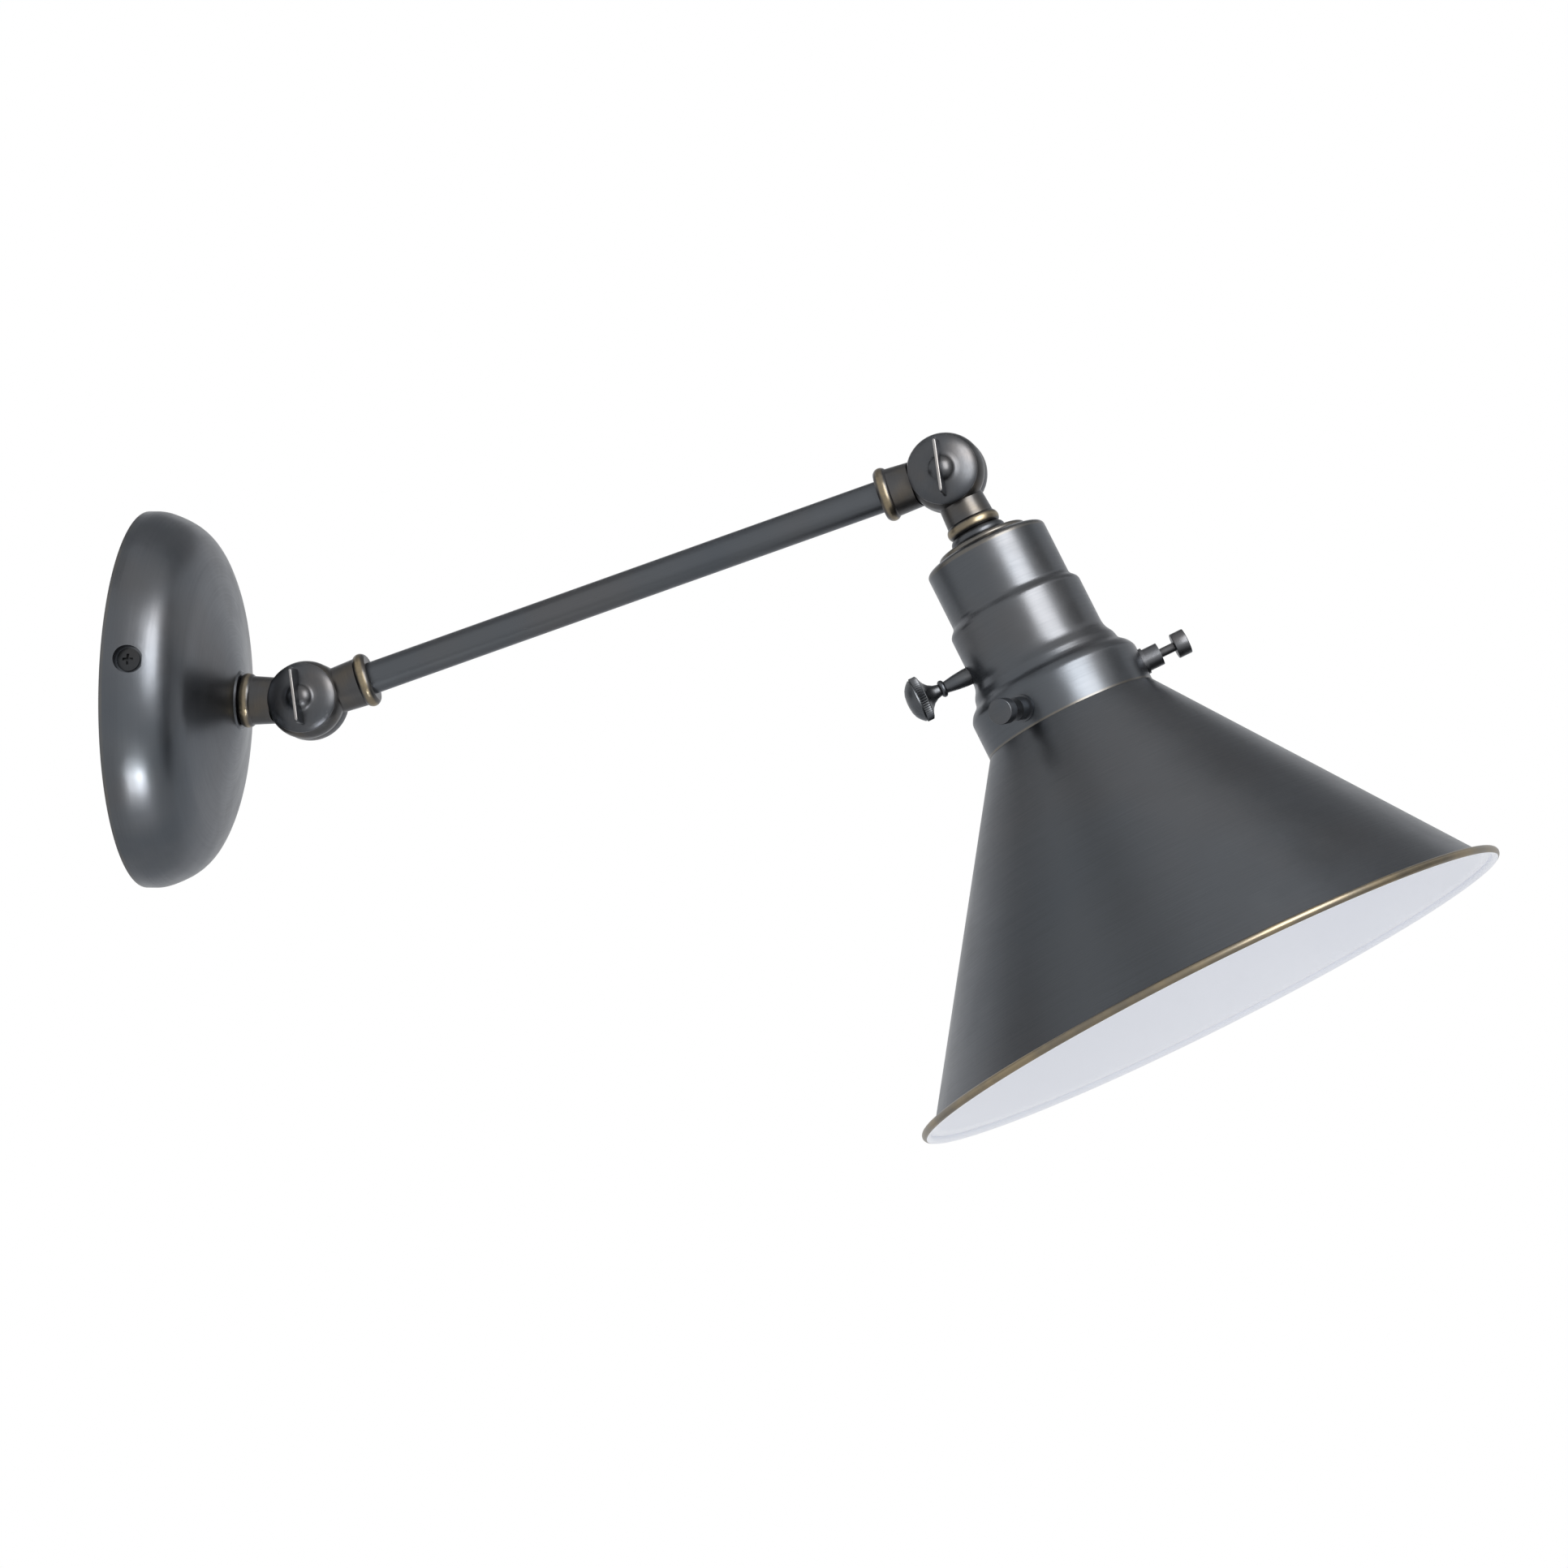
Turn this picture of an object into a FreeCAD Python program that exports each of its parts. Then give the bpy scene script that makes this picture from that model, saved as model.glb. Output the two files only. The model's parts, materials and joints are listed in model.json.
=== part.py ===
import FreeCAD, Part
import math
import os

# Articulating wall lamp, in millimetres.
# +X leaves the wall, +Z is up and the arm swings in the plane Y = 0.
# The origin is the centre of the canopy's back, on the wall.

Vector = FreeCAD.Vector

# ---------------------------------------------------------------- driving sizes

# Canopy: a spun steel dome that covers the wall box.
CANOPY_RADIUS = 63.5
CANOPY_DEPTH = 32.2
CANOPY_LIP_DEPTH = 3.0
CANOPY_SHOULDER_DEPTH = 24.8
CANOPY_SHOULDER_RADIUS = 42.5
CANOPY_SEAT_RADIUS = 9.6
CANOPY_SEAT_RISE = 0.6
CANOPY_WALL = 1.2

# Canopy side screws, and the dimples that their heads lie in.
SIDE_SCREW_X = 9.0
SIDE_SCREW_CLOCK = 83.2
SIDE_SCREW_SHANK = 2.0
SIDE_SCREW_HEAD = 3.9
SIDE_SCREW_HEAD_HEIGHT = 1.6
SIDE_SCREW_DOME = 0.6
SIDE_SCREW_PAST_EAR = 3.0
CROSS_SLOT_LENGTH = 3.6
CROSS_SLOT_WIDTH = 0.9
CROSS_SLOT_DEPTH = 1.3
DIMPLE_GAP = 0.8
DIMPLE_WALL = 1.0
DIMPLE_DEPTH = 2.0

# Wall bracket: a strap with an ear at each end.
BRACKET_WIDTH = 16.0
BRACKET_THICKNESS = 2.0
BRACKET_EAR_DEPTH = 13.5
BRACKET_EAR_GAP = 1.0
BRACKET_EYE = 9.0
WALL_HOLE_RADIUS = 2.4
WALL_HOLES_WIDE_PCD = 88.9
WALL_HOLES_NARROW_PCD = 69.85

# Ground screw in the bracket.
GROUND_SCREW_AT = 16.0
GROUND_SCREW_RADIUS = 2.0
GROUND_HEAD_FLATS = 7.0
GROUND_HEAD_HEIGHT = 2.6
GROUND_FLANGE_RADIUS = 4.6
GROUND_FLANGE_THICKNESS = 0.8

# Threaded nipples with their nuts and washers.
NIPPLE_RADIUS = 4.85
NIPPLE_BORE = 3.2
NIPPLE_ENGAGED = 7.0
NUT_FLATS = 15.0
NUT_THICKNESS = 3.0
WASHER_RADIUS = 8.6
WASHER_THICKNESS = 1.0
NIPPLE_PAST_NUT = 1.5

# Clearances.
FIT_GAP = 0.03
RUNNING_GAP = 0.05
CURVED_GAP = 0.35

# Swivel knuckles: two rounded halves, each with a beaded collar.
KNUCKLE_RADIUS = 13.1
KNUCKLE_RIM_RADIUS = 12.65
KNUCKLE_BELLY = 3.8
KNUCKLE_NEAR_DEPTH = 9.0
KNUCKLE_FAR_DEPTH = 8.7
KNUCKLE_SEAM = 0.1
KNUCKLE_POCKET_INNER = 4.6
KNUCKLE_POCKET_OUTER = 10.0
KNUCKLE_POCKET_DEPTH = 4.6
COLLAR_RADIUS = 8.2
COLLAR_ROOT_RADIUS = 7.7
BEAD_RADIUS = 9.2
BEAD_WIDTH = 4.2
BASE_COLLAR_REACH = 22.8
ARM_COLLAR_REACH = 23.3
HEAD_COLLAR_REACH = 22.0
FRICTION_WASHER_THICKNESS = 0.7

# Thumb turns: a crowned disc with a boss and an upright blade.
CLAMP_SCREW_RADIUS = 2.0
CLAMP_SCREW_END = 6.8
SPRING_WASHER_THICKNESS = 0.75
SPRING_WASHER_RADIUS = 5.8
THUMB_DISC_RADIUS = 11.7
THUMB_RIM_THICKNESS = 1.4
THUMB_BACK_GAP = 0.3
THUMB_CROWN = 2.3
THUMB_BOSS_RADIUS = 4.1
THUMB_BOSS_HEIGHT = 3.2
THUMB_BLADE_LENGTH = 18.8
THUMB_BLADE_HEIGHT = 11.1
THUMB_BLADE_THICKNESS = 1.0
THUMB_BLADE_CORNER = 1.6
THUMB_BLADE_LEAN = 9.3

# Arm.
ARM_LENGTH = 228.6
ARM_ELEVATION = 19.8
ARM_TUBE_RADIUS = 5.4
ARM_TUBE_WALL = 1.0
ARM_SOCKET_DEPTH = 5.0

# Head: everything here lies along the head's own axis, measured from the upper joint.
HEAD_TILT = 27.9
COUPLING_RING_RADIUS = 9.6
COUPLING_RING_WIDTH = 3.5
CUP_WALL = 0.8
CUP_BOSS_RADIUS = 15.7
CUP_BOSS_HEIGHT = 1.9
CUP_SHOULDER_HEIGHT = 2.7
CUP_UPPER_RADIUS = 21.3
CUP_UPPER_END = 47.5
CUP_LOWER_RADIUS = 23.5
CUP_STEP_LENGTH = 4.4
CUP_LOWER_END = 65.8
CUP_RIDGE_RADIUS = 25.55
CUP_RIDGE_AT = 72.9
CUP_HOLDER_RADIUS = 29.85
CUP_HOLDER_START = 81.4
CUP_END = 92.6

# Shade: a spun cone with a fitter neck above, and a flange with a rolled lip below.
SHADE_NECK_LIP_RADIUS = 28.575
SHADE_NECK_RADIUS = 28.05
SHADE_NECK_INSET = 0.2
SHADE_NECK_LIP_WIDTH = 0.9
SHADE_TUCK = 1.1
SHADE_LENGTH = 103.95
SHADE_MOUTH_RADIUS = 99.7
SHADE_LIP_RADIUS = 103.7
SHADE_WALL = 0.8
SHADE_ROLL_RADIUS = 1.4

# Shade screws and their bushes, three round the holder ring.
SHADE_SCREW_T = 85.7
SHADE_SCREW_CLOCK = -9.0
SHADE_SCREW_COUNT = 3
SHADE_SCREW_RADIUS = 1.5
SHADE_SCREW_TIP_GAP = 0.3
SHADE_SCREW_HEAD_AT = 41.3
SHADE_SCREW_HEAD_RADIUS = 4.25
SHADE_SCREW_HEAD_LENGTH = 4.7
BUSH_RADIUS = 3.8
BUSH_FLANGE_RADIUS = 4.5
BUSH_FLANGE_THICKNESS = 0.9
BUSH_SPIGOT_RADIUS = 2.8
BUSH_END = 36.0

# Lampholder inside the cup.
CAP_HUB_RADIUS = 7.0
CAP_HUB_LENGTH = 5.0
CAP_GAP = 0.4
CAP_WALL = 0.8
CAP_DEPTH = 11.0
HOLDER_SHELL_RADIUS = 16.7
HOLDER_SHELL_WALL = 0.6
HOLDER_SHELL_START = 38.5
SLEEVE_WALL = 1.0
SLEEVE_START = 40.0
SWITCH_BLOCK_START = 46.0
SWITCH_BLOCK_END = 73.0
CONTACT_PLATE_THICKNESS = 1.5
CONTACT_WELL_DEPTH = 2.5
SCREW_SHELL_BORE = 13.2
SCREW_SHELL_WALL = 0.5
SCREW_SHELL_LENGTH = 20.0
SCREW_SHELL_FLOOR_HOLE = 6.0
CENTRE_CONTACT_RADIUS = 3.8
CENTRE_CONTACT_HEIGHT = 2.2
SLEEVE_PAST_SHELL = 1.0
HOLDER_PAST_SLEEVE = 0.5
TERMINAL_SCREW_AT = 9.0
TERMINAL_SCREW_RADIUS = 1.5
TERMINAL_HEAD_RADIUS = 2.9
TERMINAL_HEAD_HEIGHT = 1.8
TERMINAL_SCREW_LENGTH = 6.0

# Turn switch: knob, spindle and rotor, square to the head's axis.
SWITCH_T = 64.5
SWITCH_CLOCK = 170.0
ROTOR_RADIUS = 5.5
ROTOR_START = 3.0
ROTOR_LENGTH = 5.0
SPINDLE_RADIUS = 1.8
SPINDLE_END = 29.0
KNOB_STEM_START = 21.4
KNOB_STEM_RADIUS = 3.0
KNOB_STEM_HOLE_GAP = 0.35
KNOB_WAIST_AT = 32.3
KNOB_WAIST_RADIUS = 2.0
KNOB_RING_RADIUS = 2.95
KNOB_RING_WIDTH = 2.2
KNOB_TRUMPET_END = 39.8
KNOB_TRUMPET_RADIUS = 7.2
KNOB_BAND_RADIUS = 7.7
KNOB_BAND_WIDTH = 2.8
KNOB_FACE_RADIUS = 6.4
KNOB_END = 46.0
KNURL_COUNT = 60
KNURL_DEPTH = 0.22


# ---------------------------------------------------------------- drawing helpers

def flat(pair):
    """A point of a half section: distance along the axis, then radius."""
    return Vector(pair[0], pair[1], 0)


def interpolated(points, first, last):
    """A smooth edge through points, leaving along first and arriving along last."""
    spline = Part.BSplineCurve()
    spline.interpolate(Points=points, InitialTangent=first, FinalTangent=last)
    return spline.toShape()


class Outline:
    """The outer line of a half section, with the solid on its right hand side."""

    def __init__(self, along, radius):
        self.tip = Vector(along, radius, 0)
        self.steps = []

    def line(self, along, radius):
        target = Vector(along, radius, 0)
        self.steps.append(("line", Part.LineSegment(self.tip, target).toShape()))
        self.tip = target
        return self

    def arc(self, middle, target):
        bend = Part.Arc(self.tip, flat(middle), flat(target))
        self.steps.append(("arc", bend.toShape()))
        self.tip = flat(target)
        return self

    def crown(self, apex):
        """A round end: an arc that meets the axis squarely."""
        rise = apex - self.tip.x
        bend = (rise ** 2 + self.tip.y ** 2) / (2.0 * rise)
        half = self.tip.y / 2.0
        middle = apex - bend + math.sqrt(bend ** 2 - half ** 2)
        return self.arc((middle, half), (apex, 0))

    def curve(self, points, first, last):
        spots = [self.tip] + [flat(pair) for pair in points]
        self.steps.append(("curve", interpolated(spots, flat(first), flat(last))))
        self.tip = spots[-1]
        return self

    def edges(self):
        return [edge for _, edge in self.steps]

    def inset(self, wall):
        """The edges of the same line moved inwards by a wall."""
        moved = []
        for index, (kind, edge) in enumerate(self.steps):
            before = self.steps[index - 1][1] if index else None
            after = self.steps[index + 1][1] if index + 1 < len(self.steps) else None
            start = mitred(before, edge, wall) if before else shifted(edge, 0.0, wall)
            end = mitred(edge, after, wall) if after else shifted(edge, 1.0, wall)
            if kind == "line":
                moved.append(Part.LineSegment(start, end).toShape())
            elif kind == "arc":
                middle = shifted(edge, 0.5, wall)
                moved.append(Part.Arc(start, middle, end).toShape())
            else:
                inner = [shifted(edge, share / 8.0, wall) for share in range(1, 8)]
                first, last = heading(edge, 0.0), heading(edge, 1.0)
                moved.append(interpolated([start] + inner + [end], first, last))
        return moved


def heading(edge, share):
    """The unit direction of an edge at a share of its parameter range."""
    low, high = edge.ParameterRange
    return edge.tangentAt(low + (high - low) * share)


def inward(direction):
    """The unit normal on the right hand side of a direction."""
    return Vector(direction.y, -direction.x, 0)


def shifted(edge, share, wall):
    """A point of an edge moved inwards by a wall."""
    low, high = edge.ParameterRange
    here = edge.valueAt(low + (high - low) * share)
    return here + inward(heading(edge, share)) * wall


def mitred(edge, following, wall):
    """The corner between two edges moved inwards by a wall."""
    corner = edge.valueAt(edge.ParameterRange[1])
    one = inward(heading(edge, 1.0))
    two = inward(heading(following, 0.0))
    return corner + (one + two) * (wall / (1.0 + one.dot(two)))


def spun(edges):
    """The solid that a closed half section sweeps round the X axis."""
    wire = Part.Wire(Part.__sortEdges__(edges))
    face = Part.Face(wire)
    return Part.Solid(face.revolve(Vector(0, 0, 0), Vector(1, 0, 0), 360))


def turned(outline):
    """A solid piece from an outline that starts and ends on the X axis."""
    start = outline.edges()[0].valueAt(outline.edges()[0].ParameterRange[0])
    closing = Part.LineSegment(outline.tip, start).toShape()
    return spun(outline.edges() + [closing])


def shell(outline, wall):
    """A thin spun piece: an outline with a wall on its inside."""
    outer = outline.edges()
    inner = outline.inset(wall)
    outer_start = outer[0].valueAt(outer[0].ParameterRange[0])
    inner_start = inner[0].valueAt(inner[0].ParameterRange[0])
    inner_end = inner[-1].valueAt(inner[-1].ParameterRange[1])
    first = Part.LineSegment(outer_start, inner_start).toShape()
    last = Part.LineSegment(outline.tip, inner_end).toShape()
    return spun(outer + [last] + inner + [first])


def rod(start, end, radius):
    """A plain cylinder along X."""
    return Part.makeCylinder(radius, end - start, Vector(start, 0, 0), Vector(1, 0, 0))


def tube(start, end, radius, bore):
    """A cylinder along X with a hole through it."""
    return rod(start, end, radius).cut(rod(start - 1.0, end + 1.0, bore))


def prism(start, end, flats, sides):
    """A regular prism along X, measured across its flats."""
    corner = flats / 2.0 / math.cos(math.pi / sides)
    turns = [2.0 * math.pi * side / sides for side in range(sides + 1)]
    ring = [Vector(start, corner * math.cos(t), corner * math.sin(t)) for t in turns]
    return Part.Face(Part.makePolygon(ring)).extrude(Vector(end - start, 0, 0))


def block(low, high):
    """A box between two corners."""
    size = high - low
    return Part.makeBox(size.x, size.y, size.z, low)


def moved(shape, axis, angle, shift):
    """A copy turned about an axis through the origin, then shifted."""
    copy = shape.copy()
    copy.rotate(Vector(0, 0, 0), axis, angle)
    copy.translate(shift)
    return copy


def aimed(shape, elevation, origin):
    """A piece drawn along +X, turned in the lamp's plane to an elevation."""
    return moved(shape, Vector(0, 1, 0), -elevation, origin)


def radial(shape, along, clock):
    """A piece drawn along +X, stood square to that axis at a clock angle."""
    upright = moved(shape, Vector(0, 1, 0), -90.0, Vector(0, 0, 0))
    return moved(upright, Vector(1, 0, 0), clock, Vector(along, 0, 0))


def sideways(shape, near):
    """A piece drawn along +X, turned to run along -Y (near) or +Y."""
    return moved(shape, Vector(0, 0, 1), -90.0 if near else 90.0, Vector(0, 0, 0))


def save(node, *solids):
    """Write one node, of one or more separate solids."""
    shape = solids[0] if len(solids) == 1 else Part.makeCompound(list(solids))
    shape.exportStep(os.path.join("parts", node + ".step"))


# ---------------------------------------------------------------- places worked out

LOWER_JOINT = Vector(CANOPY_DEPTH + BASE_COLLAR_REACH, 0, 0)
ARM_RUN = ARM_LENGTH * math.cos(math.radians(ARM_ELEVATION))
ARM_RISE = ARM_LENGTH * math.sin(math.radians(ARM_ELEVATION))
UPPER_JOINT = LOWER_JOINT + Vector(ARM_RUN, 0, ARM_RISE)
HEAD_ELEVATION = HEAD_TILT - 90.0

CUP_START = HEAD_COLLAR_REACH + COUPLING_RING_WIDTH
SHADE_NECK_START = CUP_HOLDER_START + SHADE_NECK_INSET
SHADE_START = CUP_END - SHADE_TUCK
SHADE_END = SHADE_START + SHADE_LENGTH
CAP_START = CUP_START + CUP_WALL + WASHER_THICKNESS + NUT_THICKNESS + CAP_GAP
CONTACT_START = SWITCH_BLOCK_END + CONTACT_PLATE_THICKNESS
SCREW_SHELL_START = CONTACT_START + CONTACT_WELL_DEPTH
SCREW_SHELL_END = SCREW_SHELL_START + SCREW_SHELL_LENGTH
SLEEVE_END = SCREW_SHELL_END + SLEEVE_PAST_SHELL
HOLDER_END = SLEEVE_END + HOLDER_PAST_SLEEVE
SLEEVE_RADIUS = HOLDER_SHELL_RADIUS - HOLDER_SHELL_WALL - RUNNING_GAP
SLEEVE_BORE = SLEEVE_RADIUS - SLEEVE_WALL
BLOCK_RADIUS = SLEEVE_BORE - RUNNING_GAP


def on_head(shape):
    """A piece drawn along the head's axis, put in its place."""
    return aimed(shape, HEAD_ELEVATION, UPPER_JOINT)


# ---------------------------------------------------------------- canopy and wall pieces

# The shoulder's bend, as shares of its depth and of its drop in radius.
SHOULDER_BEND = ((0.275, 0.064), (0.55, 0.208), (0.78, 0.446), (0.94, 0.775))


def canopy_outline():
    """From the wall, over the rounded shoulder and down the shallow cone."""
    depth = CANOPY_SHOULDER_DEPTH - CANOPY_LIP_DEPTH
    drop = CANOPY_RADIUS - CANOPY_SHOULDER_RADIUS
    foot = (CANOPY_DEPTH - CANOPY_SEAT_RISE, CANOPY_SEAT_RADIUS + CANOPY_SEAT_RISE)
    slope = (foot[0] - CANOPY_SHOULDER_DEPTH, foot[1] - CANOPY_SHOULDER_RADIUS)
    bend = [(CANOPY_LIP_DEPTH + depth * x, CANOPY_RADIUS - drop * r) for x, r in SHOULDER_BEND]
    bend.append((CANOPY_SHOULDER_DEPTH, CANOPY_SHOULDER_RADIUS))
    line = Outline(0, CANOPY_RADIUS)
    line.line(CANOPY_LIP_DEPTH, CANOPY_RADIUS)
    line.curve(bend, (1, 0), slope)
    line.line(*foot)
    line.line(CANOPY_DEPTH, CANOPY_SEAT_RADIUS)
    line.line(CANOPY_DEPTH, NIPPLE_RADIUS + RUNNING_GAP)
    return line


def canopy_radius_at(x):
    """The canopy's outer radius at a distance from the wall."""
    slit = Part.LineSegment(Vector(x, 0, 0), Vector(x, 2 * CANOPY_RADIUS, 0)).toShape()
    meetings = [edge.distToShape(slit) for edge in canopy_outline().edges()]
    nearest = min(meetings, key=lambda meeting: meeting[0])
    return nearest[1][0][0].y


DIMPLE_RADIUS = SIDE_SCREW_HEAD + DIMPLE_GAP
SCREW_SEAT = canopy_radius_at(SIDE_SCREW_X) - DIMPLE_DEPTH
EAR_CORNER = canopy_radius_at(BRACKET_EAR_DEPTH) - CANOPY_WALL - BRACKET_EAR_GAP
EAR_FACE = min(math.sqrt(EAR_CORNER ** 2 - (BRACKET_WIDTH / 2.0) ** 2),
               SCREW_SEAT - DIMPLE_WALL - BRACKET_EAR_GAP)
EAR_BACK = EAR_FACE - BRACKET_THICKNESS


def make_canopy():
    """The dome with its two dimples and the holes for the side screws."""
    dome = shell(canopy_outline(), CANOPY_WALL)
    outer = turned(canopy_outline().line(CANOPY_DEPTH, 0).line(0, 0))
    for clock in (SIDE_SCREW_CLOCK, SIDE_SCREW_CLOCK + 180.0):
        cup = rod(SCREW_SEAT - DIMPLE_WALL, CANOPY_RADIUS, DIMPLE_RADIUS + DIMPLE_WALL)
        dome = dome.fuse(radial(cup, SIDE_SCREW_X, clock).common(outer))
        recess = rod(SCREW_SEAT, CANOPY_RADIUS + 1.0, DIMPLE_RADIUS)
        hole = rod(EAR_FACE, CANOPY_RADIUS, SIDE_SCREW_SHANK + RUNNING_GAP)
        dome = dome.cut(radial(recess.fuse(hole), SIDE_SCREW_X, clock))
    save("canopy", dome.removeSplitter())


def make_side_screws():
    """Two domed cross-recess screws."""
    top = SCREW_SEAT + SIDE_SCREW_HEAD_HEIGHT
    line = Outline(EAR_BACK - SIDE_SCREW_PAST_EAR, 0)
    line.line(EAR_BACK - SIDE_SCREW_PAST_EAR, SIDE_SCREW_SHANK)
    line.line(SCREW_SEAT, SIDE_SCREW_SHANK)
    line.line(SCREW_SEAT, SIDE_SCREW_HEAD)
    line.line(top - SIDE_SCREW_DOME, SIDE_SCREW_HEAD)
    line.crown(top)
    screw = turned(line)
    half = CROSS_SLOT_LENGTH / 2.0
    thin = CROSS_SLOT_WIDTH / 2.0
    floor = top - CROSS_SLOT_DEPTH
    screw = screw.cut(block(Vector(floor, -half, -thin), Vector(top + 1.0, half, thin)))
    screw = screw.cut(block(Vector(floor, -thin, -half), Vector(top + 1.0, thin, half)))
    near = radial(screw, SIDE_SCREW_X, SIDE_SCREW_CLOCK)
    far = radial(screw, SIDE_SCREW_X, SIDE_SCREW_CLOCK + 180.0)
    save("canopy_side_screws", near, far)


def make_bracket():
    """The strap on the wall, drawn with its length along Z and then clocked."""
    half = BRACKET_WIDTH / 2.0
    strap = block(Vector(0, -half, -EAR_FACE), Vector(BRACKET_THICKNESS, half, EAR_FACE))
    top_ear = block(Vector(0, -half, EAR_BACK), Vector(BRACKET_EAR_DEPTH, half, EAR_FACE))
    low_ear = block(Vector(0, -half, -EAR_FACE), Vector(BRACKET_EAR_DEPTH, half, -EAR_BACK))
    bracket = strap.fuse(top_ear).fuse(low_ear).removeSplitter()
    eye_pad = rod(0, BRACKET_THICKNESS, BRACKET_EYE + BRACKET_WIDTH / 4.0)
    bracket = bracket.fuse(eye_pad).removeSplitter()
    bracket = bracket.cut(rod(-1, BRACKET_THICKNESS + 1, BRACKET_EYE))
    for pcd in (WALL_HOLES_WIDE_PCD, WALL_HOLES_NARROW_PCD):
        for side in (-1, 1):
            hole = rod(-1, BRACKET_THICKNESS + 1, WALL_HOLE_RADIUS)
            hole.translate(Vector(0, 0, side * pcd / 2.0))
            bracket = bracket.cut(hole)
    ground = rod(-1, BRACKET_THICKNESS + 1, GROUND_SCREW_RADIUS + FIT_GAP)
    ground.translate(Vector(0, 0, GROUND_SCREW_AT))
    bracket = bracket.cut(ground)
    for clock in (0.0, 180.0):
        thread = rod(EAR_BACK - 1, EAR_FACE + 1, SIDE_SCREW_SHANK + FIT_GAP)
        bracket = bracket.cut(radial(thread, SIDE_SCREW_X, clock))
    save("wall_bracket", moved(bracket, Vector(1, 0, 0), SIDE_SCREW_CLOCK, Vector(0, 0, 0)))


def make_ground_screw():
    """A hexagon washer-head screw beside the bracket's eye."""
    seat = BRACKET_THICKNESS
    top = seat + GROUND_FLANGE_THICKNESS + GROUND_HEAD_HEIGHT
    screw = rod(0, seat, GROUND_SCREW_RADIUS)
    flange = rod(seat, seat + GROUND_FLANGE_THICKNESS, GROUND_FLANGE_RADIUS)
    head = prism(seat, top, GROUND_HEAD_FLATS, 6)
    screw = screw.fuse(flange).fuse(head).removeSplitter()
    screw.translate(Vector(0, 0, GROUND_SCREW_AT))
    save("ground_screw", moved(screw, Vector(1, 0, 0), SIDE_SCREW_CLOCK, Vector(0, 0, 0)))


def nut(start):
    """A hexagon nut along X."""
    return prism(start, start + NUT_THICKNESS, NUT_FLATS, 6).cut(
        rod(start - 1, start + NUT_THICKNESS + 1, NIPPLE_RADIUS + FIT_GAP))


def make_neck_fasteners():
    """The nipple that holds the base knuckle, with its washer and nut."""
    plate = CANOPY_DEPTH - CANOPY_WALL
    washer_start = plate - WASHER_THICKNESS
    nut_start = washer_start - NUT_THICKNESS
    nipple = tube(nut_start - NIPPLE_PAST_NUT, CANOPY_DEPTH + NIPPLE_ENGAGED, NIPPLE_RADIUS, NIPPLE_BORE)
    save("neck_nipple", nipple)
    save("neck_washer", tube(washer_start, plate, WASHER_RADIUS, NIPPLE_RADIUS + FIT_GAP))
    save("neck_nut", nut(nut_start))


# ---------------------------------------------------------------- swivel knuckles

def knuckle_round(start, depth, gap):
    """The round edge of a half from its seam face, grown by a gap, drawn along +X."""
    brow = KNUCKLE_BELLY + (depth - KNUCKLE_BELLY) * 0.5
    line = Outline(start, 0)
    line.line(start, KNUCKLE_RIM_RADIUS + gap)
    line.arc((KNUCKLE_BELLY * 0.5, KNUCKLE_RADIUS - 0.12 + gap), (KNUCKLE_BELLY, KNUCKLE_RADIUS + gap))
    line.arc((brow, KNUCKLE_RADIUS * 0.945 + gap), (depth, KNUCKLE_RADIUS * 0.79 + gap))
    line.line(depth, 0)
    return turned(line)


def knuckle_half(near, reach, socket_radius, socket_depth):
    """One half of a swivel, with its collar along +X from the joint's centre."""
    depth = KNUCKLE_NEAR_DEPTH if near else KNUCKLE_FAR_DEPTH
    other_depth = KNUCKLE_FAR_DEPTH if near else KNUCKLE_NEAR_DEPTH
    face = KNUCKLE_SEAM / 2.0
    body = sideways(knuckle_round(face, depth, 0.0), near)

    bead = reach - BEAD_WIDTH
    neck = Outline(0, 0)
    neck.line(0, COLLAR_ROOT_RADIUS)
    neck.line(KNUCKLE_RADIUS * 0.72, COLLAR_ROOT_RADIUS)
    neck.line(bead, COLLAR_RADIUS)
    neck.arc((reach - BEAD_WIDTH / 2.0, BEAD_RADIUS), (reach - 0.2, COLLAR_RADIUS))
    neck.line(reach, COLLAR_RADIUS - 0.3)
    neck.line(reach, 0)
    room = sideways(knuckle_round(-face, other_depth, CURVED_GAP), not near)
    half = turned(neck).cut(room).fuse(body).removeSplitter()

    # The wire's way: a ring round the hub, a bore through the collar and its socket.
    pocket = tube(-1, KNUCKLE_POCKET_DEPTH, KNUCKLE_POCKET_OUTER, KNUCKLE_POCKET_INNER)
    pocket = pocket.common(rod(0, KNUCKLE_POCKET_DEPTH, KNUCKLE_POCKET_OUTER))
    half = half.cut(sideways(pocket, near))
    half = half.cut(rod(KNUCKLE_POCKET_INNER + 1.5, reach + 1, NIPPLE_BORE))
    half = half.cut(rod(reach - socket_depth, reach + 1, socket_radius + FIT_GAP))

    # The hub: lower by half the friction washer, and bored for the clamp screw.
    hub = rod(-1, FRICTION_WASHER_THICKNESS / 2.0, KNUCKLE_POCKET_INNER + 0.5)
    half = half.cut(sideways(hub, near))
    bore_end = 3 * KNUCKLE_RADIUS if near else CLAMP_SCREW_END + 0.4
    bore = rod(-1, bore_end, CLAMP_SCREW_RADIUS + RUNNING_GAP)
    return half.cut(sideways(bore, near)).removeSplitter()


def friction_washer():
    """The washer on the far half's hub, just clear of the near half's."""
    half = FRICTION_WASHER_THICKNESS / 2.0
    ring = tube(-half + RUNNING_GAP, half, KNUCKLE_POCKET_INNER - 0.3, CLAMP_SCREW_RADIUS + RUNNING_GAP)
    return sideways(ring, False)


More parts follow.
